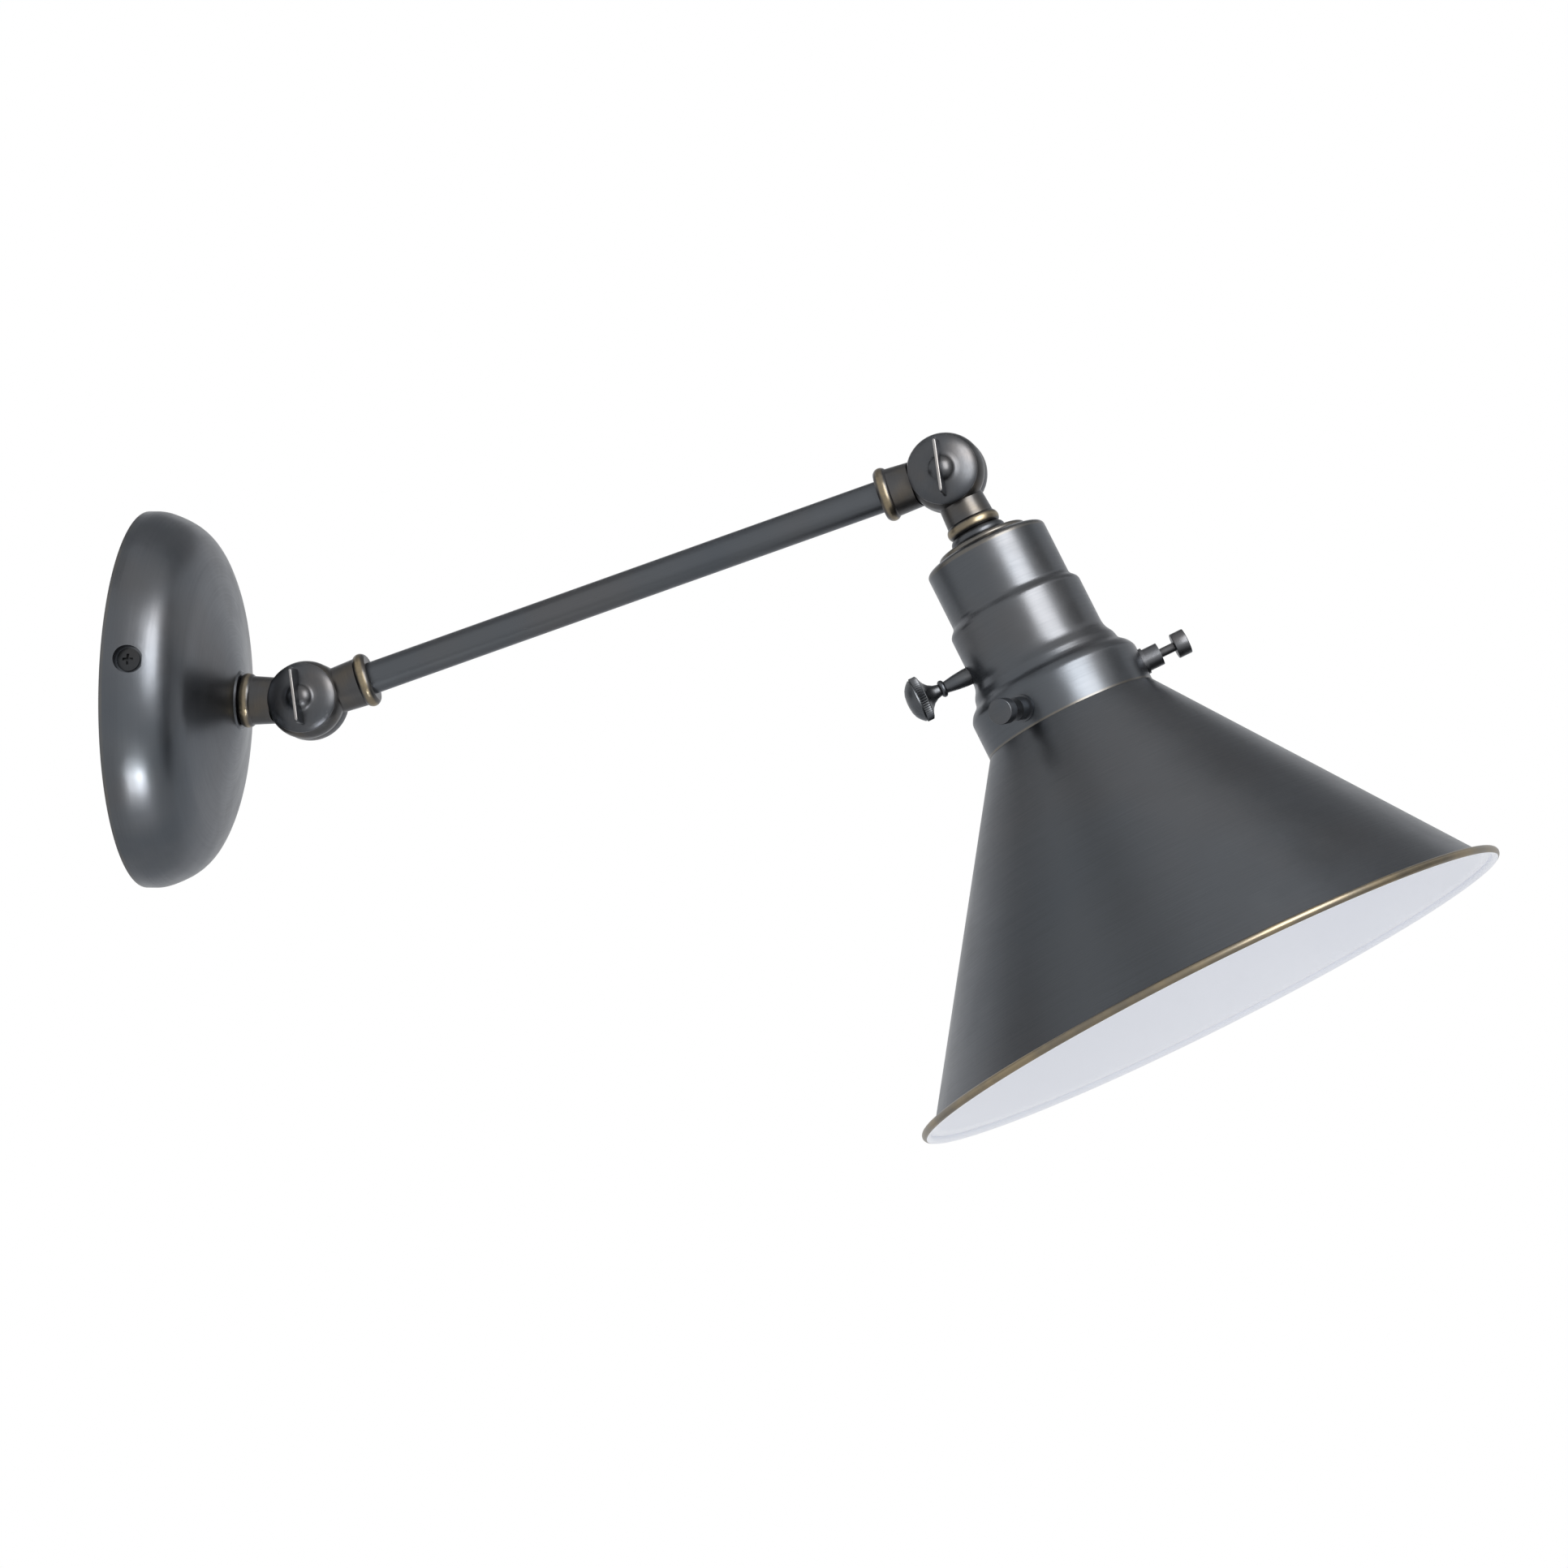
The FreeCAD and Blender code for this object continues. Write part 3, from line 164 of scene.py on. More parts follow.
class NodeSheet:
    """A node tree with short ways to add and join nodes."""

    MIX_FACTOR = 0
    MIX_FIRST_COLOUR = 6
    MIX_SECOND_COLOUR = 7
    MIX_COLOUR_RESULT = 2

    def __init__(self, tree: bpy.types.NodeTree) -> None:
        """Keeps the tree to work on."""
        self.tree = tree

    def add(self, kind: str, **settings: object) -> bpy.types.Node:
        """Adds a node.

        Args:
            kind: the node's type name.
            settings: the node's own properties.

        Returns:
            The new node.
        """
        node = self.tree.nodes.new(kind)
        for name, value in settings.items():
            setattr(node, name, value)
        return node

    def feed(self, socket: bpy.types.NodeSocket, source: object) -> None:
        """Links a socket or sets its value.

        Args:
            socket: the input to fill.
            source: an output socket, a number, a colour or a vector.
        """
        if isinstance(source, bpy.types.NodeSocket):
            self.tree.links.new(source, socket)
        elif isinstance(source, tuple) and socket.type == "RGBA":
            socket.default_value = (*source, 1.0)
        else:
            socket.default_value = source

    def math(self, operation: str, *values: object, clamp: bool = False) -> bpy.types.NodeSocket:
        """Adds a Math node.

        Args:
            operation: the node's operation.
            values: its inputs, in order.
            clamp: whether the result is kept between 0 and 1.

        Returns:
            The node's output.
        """
        node = self.add("ShaderNodeMath", operation=operation, use_clamp=clamp)
        for socket, value in zip(node.inputs, values):
            self.feed(socket, value)
        return node.outputs[0]

    def noise(self, vector: object, scale: object, detail: float,
              roughness: float = 0.5) -> bpy.types.NodeSocket:
        """Adds a 3D noise texture.

        Args:
            vector: the coordinates to read.
            scale: how fine the noise is, per unit of the coordinates.
            detail: the number of finer layers.
            roughness: how strong the finer layers are.

        Returns:
            The noise, about 0.5 on average.
        """
        node = self.add("ShaderNodeTexNoise")
        self.feed(node.inputs["Vector"], vector)
        self.feed(node.inputs["Scale"], scale)
        self.feed(node.inputs["Detail"], detail)
        self.feed(node.inputs["Roughness"], roughness)
        return node.outputs["Fac"]

    def smooth_step(self, value: object, low: object, high: object) -> bpy.types.NodeSocket:
        """Maps a value from 0 at low to 1 at high along a smooth curve.

        Args:
            value: the value to map.
            low: where the result is 0.
            high: where the result is 1.

        Returns:
            The mapped value.
        """
        node = self.add("ShaderNodeMapRange", interpolation_type="SMOOTHSTEP")
        self.feed(node.inputs["Value"], value)
        self.feed(node.inputs["From Min"], low)
        self.feed(node.inputs["From Max"], high)
        return node.outputs["Result"]

    def mix(self, factor: object, first: object, second: object) -> bpy.types.NodeSocket:
        """Mixes two colours.

        Args:
            factor: the share of the second colour.
            first: the first colour.
            second: the second colour.

        Returns:
            The mixed colour.
        """
        node = self.add("ShaderNodeMix", data_type="RGBA", blend_type="MIX")
        self.feed(node.inputs[self.MIX_FACTOR], factor)
        self.feed(node.inputs[self.MIX_FIRST_COLOUR], first)
        self.feed(node.inputs[self.MIX_SECOND_COLOUR], second)
        return node.outputs[self.MIX_COLOUR_RESULT]

    def object_place(self) -> bpy.types.NodeSocket:
        """The place on the object, in metres."""
        return self.add("ShaderNodeTexCoord").outputs["Object"]

    def group(self, shared: bpy.types.NodeTree, **inputs: object) -> bpy.types.NodeOutputs:
        """Places a shared effect.

        Args:
            shared: the node group.
            inputs: its input values or sources, with _ for a space in a name.

        Returns:
            The group's outputs, by name.
        """
        node = self.add("ShaderNodeGroup", node_tree=shared)
        for name, value in inputs.items():
            self.feed(node.inputs[name.replace("_", " ")], value)
        return node.outputs


class SocketKind(Enum):
    """What a socket of a node group carries."""

    NUMBER = "NodeSocketFloat"
    VECTOR = "NodeSocketVector"
    COLOUR = "NodeSocketColor"


GroupParts = tuple[NodeSheet, bpy.types.NodeOutputs, bpy.types.NodeInputs]


def start_group(name: str, inputs: dict[SocketKind, tuple[str, ...]],
                outputs: dict[SocketKind, tuple[str, ...]]) -> GroupParts:
    """Starts a node group.

    Args:
        name: the group's name.
        inputs: the names of its inputs, by kind.
        outputs: the names of its outputs, by kind.

    Returns:
        The sheet, what the group is given, and what it puts out.
    """
    tree = bpy.data.node_groups.new(name, "ShaderNodeTree")
    for side, sockets in (("INPUT", inputs), ("OUTPUT", outputs)):
        for kind, labels in sockets.items():
            for label in labels:
                tree.interface.new_socket(name=label, in_out=side, socket_type=kind.value)
    sheet = NodeSheet(tree)
    given = sheet.add("NodeGroupInput").outputs
    return sheet, given, sheet.add("NodeGroupOutput").inputs


@dataclass(frozen=True)
class RoundCoordinates:
    """Along, radius and the unit direction round an axis; lengths in millimetres."""

    least_radius: float = 1e-6

    def build(self) -> bpy.types.NodeTree:
        """Makes the node group.

        Returns:
            The group.
        """
        sheet, given, result = start_group(
            "Round Coordinates", {SocketKind.VECTOR: ("Vector",)},
            {SocketKind.NUMBER: ("Along", "Radius", "Side", "Up")})
        parts = sheet.add("ShaderNodeSeparateXYZ")
        sheet.feed(parts.inputs[0], given["Vector"])
        along, side, up = parts.outputs
        square = sheet.math("ADD", sheet.math("MULTIPLY", side, side),
                            sheet.math("MULTIPLY", up, up))
        radius = sheet.math("MAXIMUM", sheet.math("SQRT", square), self.least_radius)
        sheet.feed(result["Along"], sheet.math("DIVIDE", along, MM))
        sheet.feed(result["Radius"], sheet.math("DIVIDE", radius, MM))
        sheet.feed(result["Side"], sheet.math("DIVIDE", side, radius))
        sheet.feed(result["Up"], sheet.math("DIVIDE", up, radius))
        return sheet.tree


@dataclass(frozen=True)
class TurnedLines:
    """Fine polishing lines on a round piece."""

    detail: float = 4.0
    roughness: float = 0.62

    def build(self) -> bpy.types.NodeTree:
        """Makes the node group.

        Returns:
            The group.
        """
        sheet, given, result = start_group(
            "Turned Lines",
            {SocketKind.NUMBER: ("Along", "Radius", "Side", "Up", "Across", "Round")},
            {SocketKind.NUMBER: ("Lines",)})
        profile = sheet.math("ADD", given["Along"], given["Radius"])
        spot = sheet.add("ShaderNodeCombineXYZ")
        sheet.feed(spot.inputs["X"], sheet.math("MULTIPLY", profile, given["Across"]))
        sheet.feed(spot.inputs["Y"], sheet.math("MULTIPLY", given["Side"], given["Round"]))
        sheet.feed(spot.inputs["Z"], sheet.math("MULTIPLY", given["Up"], given["Round"]))
        sheet.feed(result["Lines"],
                   sheet.noise(spot.outputs[0], 1.0, self.detail, self.roughness))
        return sheet.tree


@dataclass(frozen=True)
class Tarnish:
    """Slow changes of colour over a piece, and smudges on it.

    Each pair is where on the noise a change starts and where it is complete.
    """

    cloud_detail: float = 3.0
    smudge_detail: float = 5.0
    smudge_roughness: float = 0.6
    smudge_fineness: float = 3.7
    warm_from: Pair = (0.48, 0.68)
    cool_from: Pair = (0.50, 0.30)
    smudge_from: Pair = (0.35, 0.70)

    def build(self) -> bpy.types.NodeTree:
        """Makes the node group.

        Returns:
            The group.
        """
        sheet, given, result = start_group(
            "Tarnish",
            {SocketKind.VECTOR: ("Vector",), SocketKind.NUMBER: ("Scale",),
             SocketKind.COLOUR: ("Plain", "Warm", "Cool")},
            {SocketKind.COLOUR: ("Color",), SocketKind.NUMBER: ("Smudge",)})
        cloud = sheet.noise(given["Vector"], given["Scale"], self.cloud_detail)
        fine_scale = sheet.math("MULTIPLY", given["Scale"], self.smudge_fineness)
        fine = sheet.noise(given["Vector"], fine_scale, self.smudge_detail,
                           self.smudge_roughness)
        warmth = sheet.smooth_step(cloud, *self.warm_from)
        warm = sheet.mix(warmth, given["Plain"], given["Warm"])
        coolness = sheet.smooth_step(cloud, *self.cool_from)
        sheet.feed(result["Color"], sheet.mix(coolness, warm, given["Cool"]))
        sheet.feed(result["Smudge"], sheet.smooth_step(fine, *self.smudge_from))
        return sheet.tree


@dataclass(frozen=True)
class CrestWear:
    """Finish worn through on a band of a round piece, where the band is highest."""

    full_share: float = 0.55
    least_wear: float = 0.55
    grain_wear: float = 0.7

    def build(self) -> bpy.types.NodeTree:
        """Makes the node group.

        Returns:
            The group.
        """
        sheet, given, result = start_group(
            "Crest Wear",
            {SocketKind.NUMBER: ("Along", "Radius", "Middle", "Half Width", "Crest", "Depth",
                                 "Grain", "Amount")},
            {SocketKind.NUMBER: ("Mask",)})
        away = sheet.math("ABSOLUTE", sheet.math("SUBTRACT", given["Along"], given["Middle"]))
        inner = sheet.math("MULTIPLY", given["Half Width"], self.full_share)
        near = sheet.math("SUBTRACT", 1.0, sheet.smooth_step(away, inner, given["Half Width"]))
        foot = sheet.math("SUBTRACT", given["Crest"], given["Depth"])
        high = sheet.smooth_step(given["Radius"], foot, given["Crest"])
        wear_and_highlight = sheet.math("MULTIPLY", near, high)
        grain = sheet.math("MULTIPLY", given["Grain"], self.grain_wear)
        broken = sheet.math("ADD", grain, self.least_wear)
        worn = sheet.math("MULTIPLY", wear_and_highlight, broken)
        sheet.feed(result["Mask"], sheet.math("MULTIPLY", worn, given["Amount"], clamp=True))
        return sheet.tree


class SharedEffects:
    """The effects that several finishes use, each one built once."""

    def __init__(self) -> None:
        """Builds every shared effect."""
        self.round_coordinates = RoundCoordinates().build()
        self.turned_lines = TurnedLines().build()
        self.tarnish = Tarnish().build()
        self.crest_wear = CrestWear().build()


# ---------------------------------------------------------------- finishes


def start_material(name: str) -> tuple[bpy.types.Material, NodeSheet, bpy.types.Node]:
    """Starts a material with one principled shader.

    Args:
        name: the material's name.

    Returns:
        The material, its sheet and its shader.
    """
    material = bpy.data.materials.new(name)
    material.use_nodes = True
    sheet = NodeSheet(material.node_tree)
    return material, sheet, material.node_tree.nodes["Principled BSDF"]


RELIEF_DEPTH = 0.05


def add_bump(sheet: NodeSheet, shader: bpy.types.Node, height: object, strength: float) -> None:
    """Gives a shader a fine relief.

    Args:
        sheet: the material's sheet.
        shader: the shader.
        height: the relief's height, from 0 to 1.
        strength: how strongly it shows.
    """
    bump = sheet.add("ShaderNodeBump")
    bump.inputs["Strength"].default_value = strength
    bump.inputs["Distance"].default_value = RELIEF_DEPTH * MM
    sheet.feed(bump.inputs["Height"], height)
    sheet.feed(shader.inputs["Normal"], bump.outputs[0])


class Grain(Enum):
    """Which way the polishing lines run: how close across them, and along them."""

    AROUND = (1.9, 1.1)
    SPUN = (2.6, 3.2)
    DRAWN = (0.05, 26.0)
    CAST = (1.6, 5.0)


@dataclass(frozen=True)
class Tones:
    """A metal's plain colour, and the warmer and cooler ones that it strays to.

    Where only the plain one is given, it strays to those of dark bronze.
    """

    plain: Colour
    warm: Colour = (0.101, 0.102, 0.107)
    cool: Colour = (0.082, 0.092, 0.106)


class Metal(Enum):
    """The colours of every metal on the lamp."""

    BRONZE = Tones((0.094, 0.101, 0.111))
    CANOPY_BRONZE = Tones((0.103, 0.11, 0.121))
    RING_BRONZE = Tones((0.075, 0.079, 0.086))
    KNUCKLE_BRONZE = Tones((0.078, 0.078, 0.08), (0.104, 0.09, 0.073), (0.07, 0.077, 0.087))
    BUSH_GUNMETAL = Tones((0.10, 0.105, 0.114))
    TURN_GUNMETAL = Tones((0.082, 0.085, 0.091), (0.094, 0.089, 0.088), (0.072, 0.079, 0.09))
    KNOB_GUNMETAL = Tones((0.092, 0.096, 0.102), (0.10, 0.097, 0.099), (0.08, 0.088, 0.1))
    SCREW_GUNMETAL = Tones((0.092, 0.096, 0.103), (0.10, 0.097, 0.1), (0.08, 0.088, 0.101))
    DARK_GUNMETAL = Tones((0.045, 0.047, 0.05), (0.05, 0.048, 0.048), (0.04, 0.043, 0.05))
    # A lighter grey for the thumb turns' blade edges: a painted highlight.
    PAINTED_HIGHLIGHT_EDGE = Tones((0.30, 0.30, 0.31), (0.33, 0.31, 0.29), (0.26, 0.28, 0.31))
    STEEL = Tones((0.42, 0.42, 0.43), (0.46, 0.44, 0.40), (0.38, 0.40, 0.43))
    ZINC = Tones((0.56, 0.57, 0.58), (0.60, 0.58, 0.50), (0.50, 0.53, 0.58))
    GREEN_COAT = Tones((0.05, 0.34, 0.12), (0.08, 0.38, 0.12), (0.04, 0.28, 0.12))
    NIPPLE_BRASS = Tones((0.70, 0.50, 0.22), (0.72, 0.48, 0.20), (0.62, 0.48, 0.24))
    HOLDER_BRASS = Tones((0.68, 0.49, 0.21), (0.70, 0.46, 0.18), (0.60, 0.47, 0.24))
    ALUMINIUM = Tones((0.80, 0.80, 0.79), (0.82, 0.80, 0.76), (0.76, 0.78, 0.80))


@dataclass(frozen=True)
class WornBand:
    """A band of a round piece where the finish is worn through.

    The crest is the radius where the wear is full, and the depth is how far
    below it the wear starts.
    """

    middle: float
    half_width: float
    crest: float
    depth: float
    amount: float


@dataclass(frozen=True)
class RoundMetal:
    """A plated or oxidised metal on a round piece, with lines and wear.

    The roughness is about its middle value: the smoothest spots lie lower by
    the field smoother, and lines and smudges add their parts to that.
    """

    name: str
    axis: TurningAxis
    grain: Grain
    metal: Metal = Metal.BRONZE
    worn: Colour = (0.25, 0.205, 0.135)
    edge: Colour = (0.82, 0.83, 0.85)
    roughness: float = 0.33
    line_depth: float = 0.35
    line_tone: float = 0.55
    line_shade: float = 0.72
    mottle: float = 22.0
    bands: tuple[WornBand, ...] = ()
    smoother: float = 0.07
    rough_lines: float = 0.12
    rough_smudges: float = 0.05

    def build(self, effects: SharedEffects) -> bpy.types.Material:
        """Makes the material.

        Args:
            effects: the shared effects.

        Returns:
            The material.
        """
        material, sheet, shader = start_material(self.name)
        place = sheet.add("ShaderNodeMapping", vector_type="TEXTURE")
        sheet.feed(place.inputs["Vector"], sheet.object_place())
        place.inputs["Location"].default_value = Vector(self.axis.origin) * MM
        place.inputs["Rotation"].default_value = (0.0, math.radians(-self.axis.elevation), 0.0)
        spot = sheet.group(effects.round_coordinates, Vector=place.outputs[0])
        across, around = self.grain.value
        lines = sheet.group(effects.turned_lines, Along=spot["Along"], Radius=spot["Radius"],
                            Side=spot["Side"], Up=spot["Up"], Across=across,
                            Round=around)["Lines"]
        tones = self.metal.value
        tarnish = sheet.group(effects.tarnish, Vector=place.outputs[0], Scale=self.mottle,
                              Plain=tones.plain, Warm=tones.warm, Cool=tones.cool)
        shade = tuple(self.line_shade * part for part in tones.plain)
        colour = sheet.mix(sheet.math("MULTIPLY", lines, self.line_tone), tarnish["Color"], shade)
        for band in self.bands:
            mask = sheet.group(effects.crest_wear, Along=spot["Along"], Radius=spot["Radius"],
                               Middle=band.middle, Half_Width=band.half_width,
                               Crest=band.crest, Depth=band.depth, Grain=tarnish["Smudge"],
                               Amount=band.amount)["Mask"]
            colour = sheet.mix(mask, colour, self.worn)
        sheet.feed(shader.inputs["Base Color"], colour)
        lined = sheet.math("MULTIPLY", lines, self.rough_lines)
        rough = sheet.math("ADD", self.roughness - self.smoother, lined)
        smudged = sheet.math("MULTIPLY", tarnish["Smudge"], self.rough_smudges)
        sheet.feed(shader.inputs["Roughness"], sheet.math("ADD", rough, smudged))
        add_bump(sheet, shader, lines, self.line_depth)
        shader.inputs["Metallic"].default_value = 1.0
        shader.inputs["Specular Tint"].default_value = (*self.edge, 1.0)
        return material


@dataclass(frozen=True)
class Coat:
    """A sprayed or moulded surface: two close colours and a fine, even relief."""

    name: str
    plain: Colour
    shaded: Colour
    roughness: float
    rough_smudges: float
    mottle: float
    relief_scale: float
    relief_detail: float
    relief_strength: float

    def build(self, effects: SharedEffects) -> bpy.types.Material:
        """Makes the material.

        Args:
            effects: the shared effects.

        Returns:
            The material.
        """
        material, sheet, shader = start_material(self.name)
        where = sheet.object_place()
        tarnish = sheet.group(effects.tarnish, Vector=where, Scale=self.mottle,
                              Plain=self.plain, Warm=self.shaded, Cool=self.plain)
        sheet.feed(shader.inputs["Base Color"], tarnish["Color"])
        smudged = sheet.math("MULTIPLY", tarnish["Smudge"], self.rough_smudges)
        sheet.feed(shader.inputs["Roughness"], sheet.math("ADD", self.roughness, smudged))
        relief = sheet.noise(where, self.relief_scale, self.relief_detail)
        add_bump(sheet, shader, relief, self.relief_strength)
        return material


SHADE_ENAMEL = Coat("shade_enamel", plain=(0.85, 0.87, 0.925), shaded=(0.83, 0.852, 0.912),
                    roughness=0.48, rough_smudges=0.08, mottle=14.0, relief_scale=900.0,
                    relief_detail=2.0, relief_strength=0.12)
SWITCH_MOULDING = Coat("switch_moulding", plain=(0.022, 0.021, 0.021),
                       shaded=(0.045, 0.043, 0.041), roughness=0.5, rough_smudges=0.15,
                       mottle=90.0, relief_scale=2200.0, relief_detail=3.0,
                       relief_strength=0.2)
SLEEVE_FIBRE = replace(SWITCH_MOULDING, name="sleeve_fibre", shaded=(0.06, 0.055, 0.05),
                       roughness=0.7)


# ---------------------------------------------------------------- mesh helpers


# Lengths in millimetres: corners closer than the first are at one place, and
# corners closer than the second become one.
TOUCHING = 0.01
MERGING = 1e-4
# Angles in degrees: edges bent more than the first are softened, and edges bent
# more than the second stay crisp in the shading.
SHARP_BEND = 40.0
CRISP_BEND = 32.0
EDGE_SEGMENTS = 3


def close_spin(bm: bmesh.types.BMesh, steps: int) -> None:
    """Spins all that a mesh holds once about the X axis and closes the seam.

    Args:
        bm: the mesh to change, whose faces then point outwards.
        steps: how many steps go round.
    """
    bmesh.ops.spin(bm, geom=bm.verts[:] + bm.edges[:], cent=(0, 0, 0), axis=(1, 0, 0),
                   angle=FULL_TURN, steps=steps, use_merge=True)
    bmesh.ops.remove_doubles(bm, verts=bm.verts[:], dist=MERGING)
    bmesh.ops.recalc_face_normals(bm, faces=bm.faces[:])


def spun(profile: Iterable[Pair], steps: int) -> bmesh.types.BMesh:
    """Turns a half section about the X axis.

    Args:
        profile: distance along the axis and radius of each corner, in order.
        steps: how many steps go round.

    Returns:
        The turned surface.
    """
    bm = bmesh.new()
    corners = [bm.verts.new((along, 0.0, radius)) for along, radius in profile]
    for first, second in zip(corners, corners[1:]):
        bm.edges.new((first, second))
    close_spin(bm, steps)
    return bm


def rounded(bm: bmesh.types.BMesh, edges: list[bmesh.types.BMEdge], width: float,
            segments: int) -> None:
    """Rounds some edges.

    Args:
        bm: the mesh to change.
        edges: the edges to round.
        width: the width of the rounding.
        segments: how many facets it has.
    """
    bmesh.ops.bevel(bm, geom=edges, offset=width, offset_type="OFFSET", segments=segments,
                    profile=0.5, affect="EDGES", material=-1, clamp_overlap=True)


def soften(bm: bmesh.types.BMesh, width: float) -> None:
    """Rounds every edge that is sharply bent.

    Args:
        bm: the mesh to change.
        width: the width of the rounding.
    """
    limit = math.radians(SHARP_BEND)
    sharp = [edge for edge in bm.edges
             if len(edge.link_faces) == 2 and edge.calc_face_angle() > limit]
    rounded(bm, sharp, width, EDGE_SEGMENTS)


def poured(target: bmesh.types.BMesh, part: bmesh.types.BMesh) -> None:
    """Adds one mesh to another and frees it.

    Args:
        target: the mesh that grows.
        part: the mesh that is added.
    """
    scratch = bpy.data.meshes.new("poured")
    part.to_mesh(scratch)
    part.free()
    target.from_mesh(scratch)
    bpy.data.meshes.remove(scratch)


@dataclass(frozen=True)
class Finished:
    """What a new piece is called, where it rides and what it stands for."""

    name: str
    body: str
    slot: str
    node: str


def finish_piece(bm: bmesh.types.BMesh, placement: Matrix, about: Finished,
                 materials: Iterable[bpy.types.Material]) -> None:
    """Makes an object of a mesh and puts it in the lamp.

    Args:
        bm: the piece, drawn in millimetres; it is freed.
        placement: the matrix that carries it to its place in metres.
        about: its name, body, slot and the solid that it stands for.
        materials: its materials, in the order of the faces' indices.
    """
    bmesh.ops.transform(bm, matrix=placement, verts=bm.verts[:])
    mesh = bpy.data.meshes.new(about.name)
    bm.to_mesh(mesh)
    bm.free()
    for material in materials:
        mesh.materials.append(material)
    mesh.shade_smooth()
    mesh.set_sharp_from_angle(angle=math.radians(CRISP_BEND))
    piece = bpy.data.objects.new(about.name, mesh)
    bpy.context.scene.collection.objects.link(piece)
    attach(piece, about.body)
    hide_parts(about.node)
    LOG.info("%s: %d faces, rides on %s", about.name, len(mesh.polygons), about.body)


# ---------------------------------------------------------------- sub-assemblies


@dataclass
class SubAssembly:
    """Solids of the frame that belong together, and the effects they are dressed with."""

    frame: dict
    effects: SharedEffects

    def dress(self, finish: RoundMetal | Coat, *nodes: str) -> None:
        """Gives solids of the frame one finish.

        Args:
            finish: their finish.
            nodes: the solids' names.
        """
        material = finish.build(self.effects)
        for node in nodes:
            solid = self.frame["nodes"][node]
            solid.data.materials.clear()
            solid.data.materials.append(material)
            LOG.info("%s: dressed in %s", node, material.name)


@dataclass
class WallCanopy(SubAssembly):
    """The spun canopy with its screws, bracket and neck fasteners."""

    rim_radius: float = 63.5

    def dress_all(self) -> None:
        """Dresses the canopy and all that is behind it."""
        wall = LAYOUT.wall_axis()
        rim = WornBand(middle=0.4, half_width=0.9, crest=self.rim_radius + 0.05, depth=0.8,
                       amount=0.12)
        self.dress(RoundMetal("canopy_bronze", wall, Grain.AROUND, Metal.CANOPY_BRONZE,
                              roughness=0.32, bands=(rim,)), "canopy")
        self.dress(RoundMetal("side_screw_gunmetal", wall, Grain.CAST, Metal.DARK_GUNMETAL),
                   "canopy_side_screws")
        self.dress(RoundMetal("bracket_zinc", wall, Grain.CAST, Metal.ZINC, roughness=0.36),
                   "wall_bracket", "neck_nut", "neck_washer")
        self.dress(RoundMetal("ground_screw_green", wall, Grain.CAST, Metal.GREEN_COAT,
                              roughness=0.38), "ground_screw")
        self.dress(RoundMetal("nipple_brass", wall, Grain.AROUND, Metal.NIPPLE_BRASS,
                              roughness=0.3), "neck_nipple")


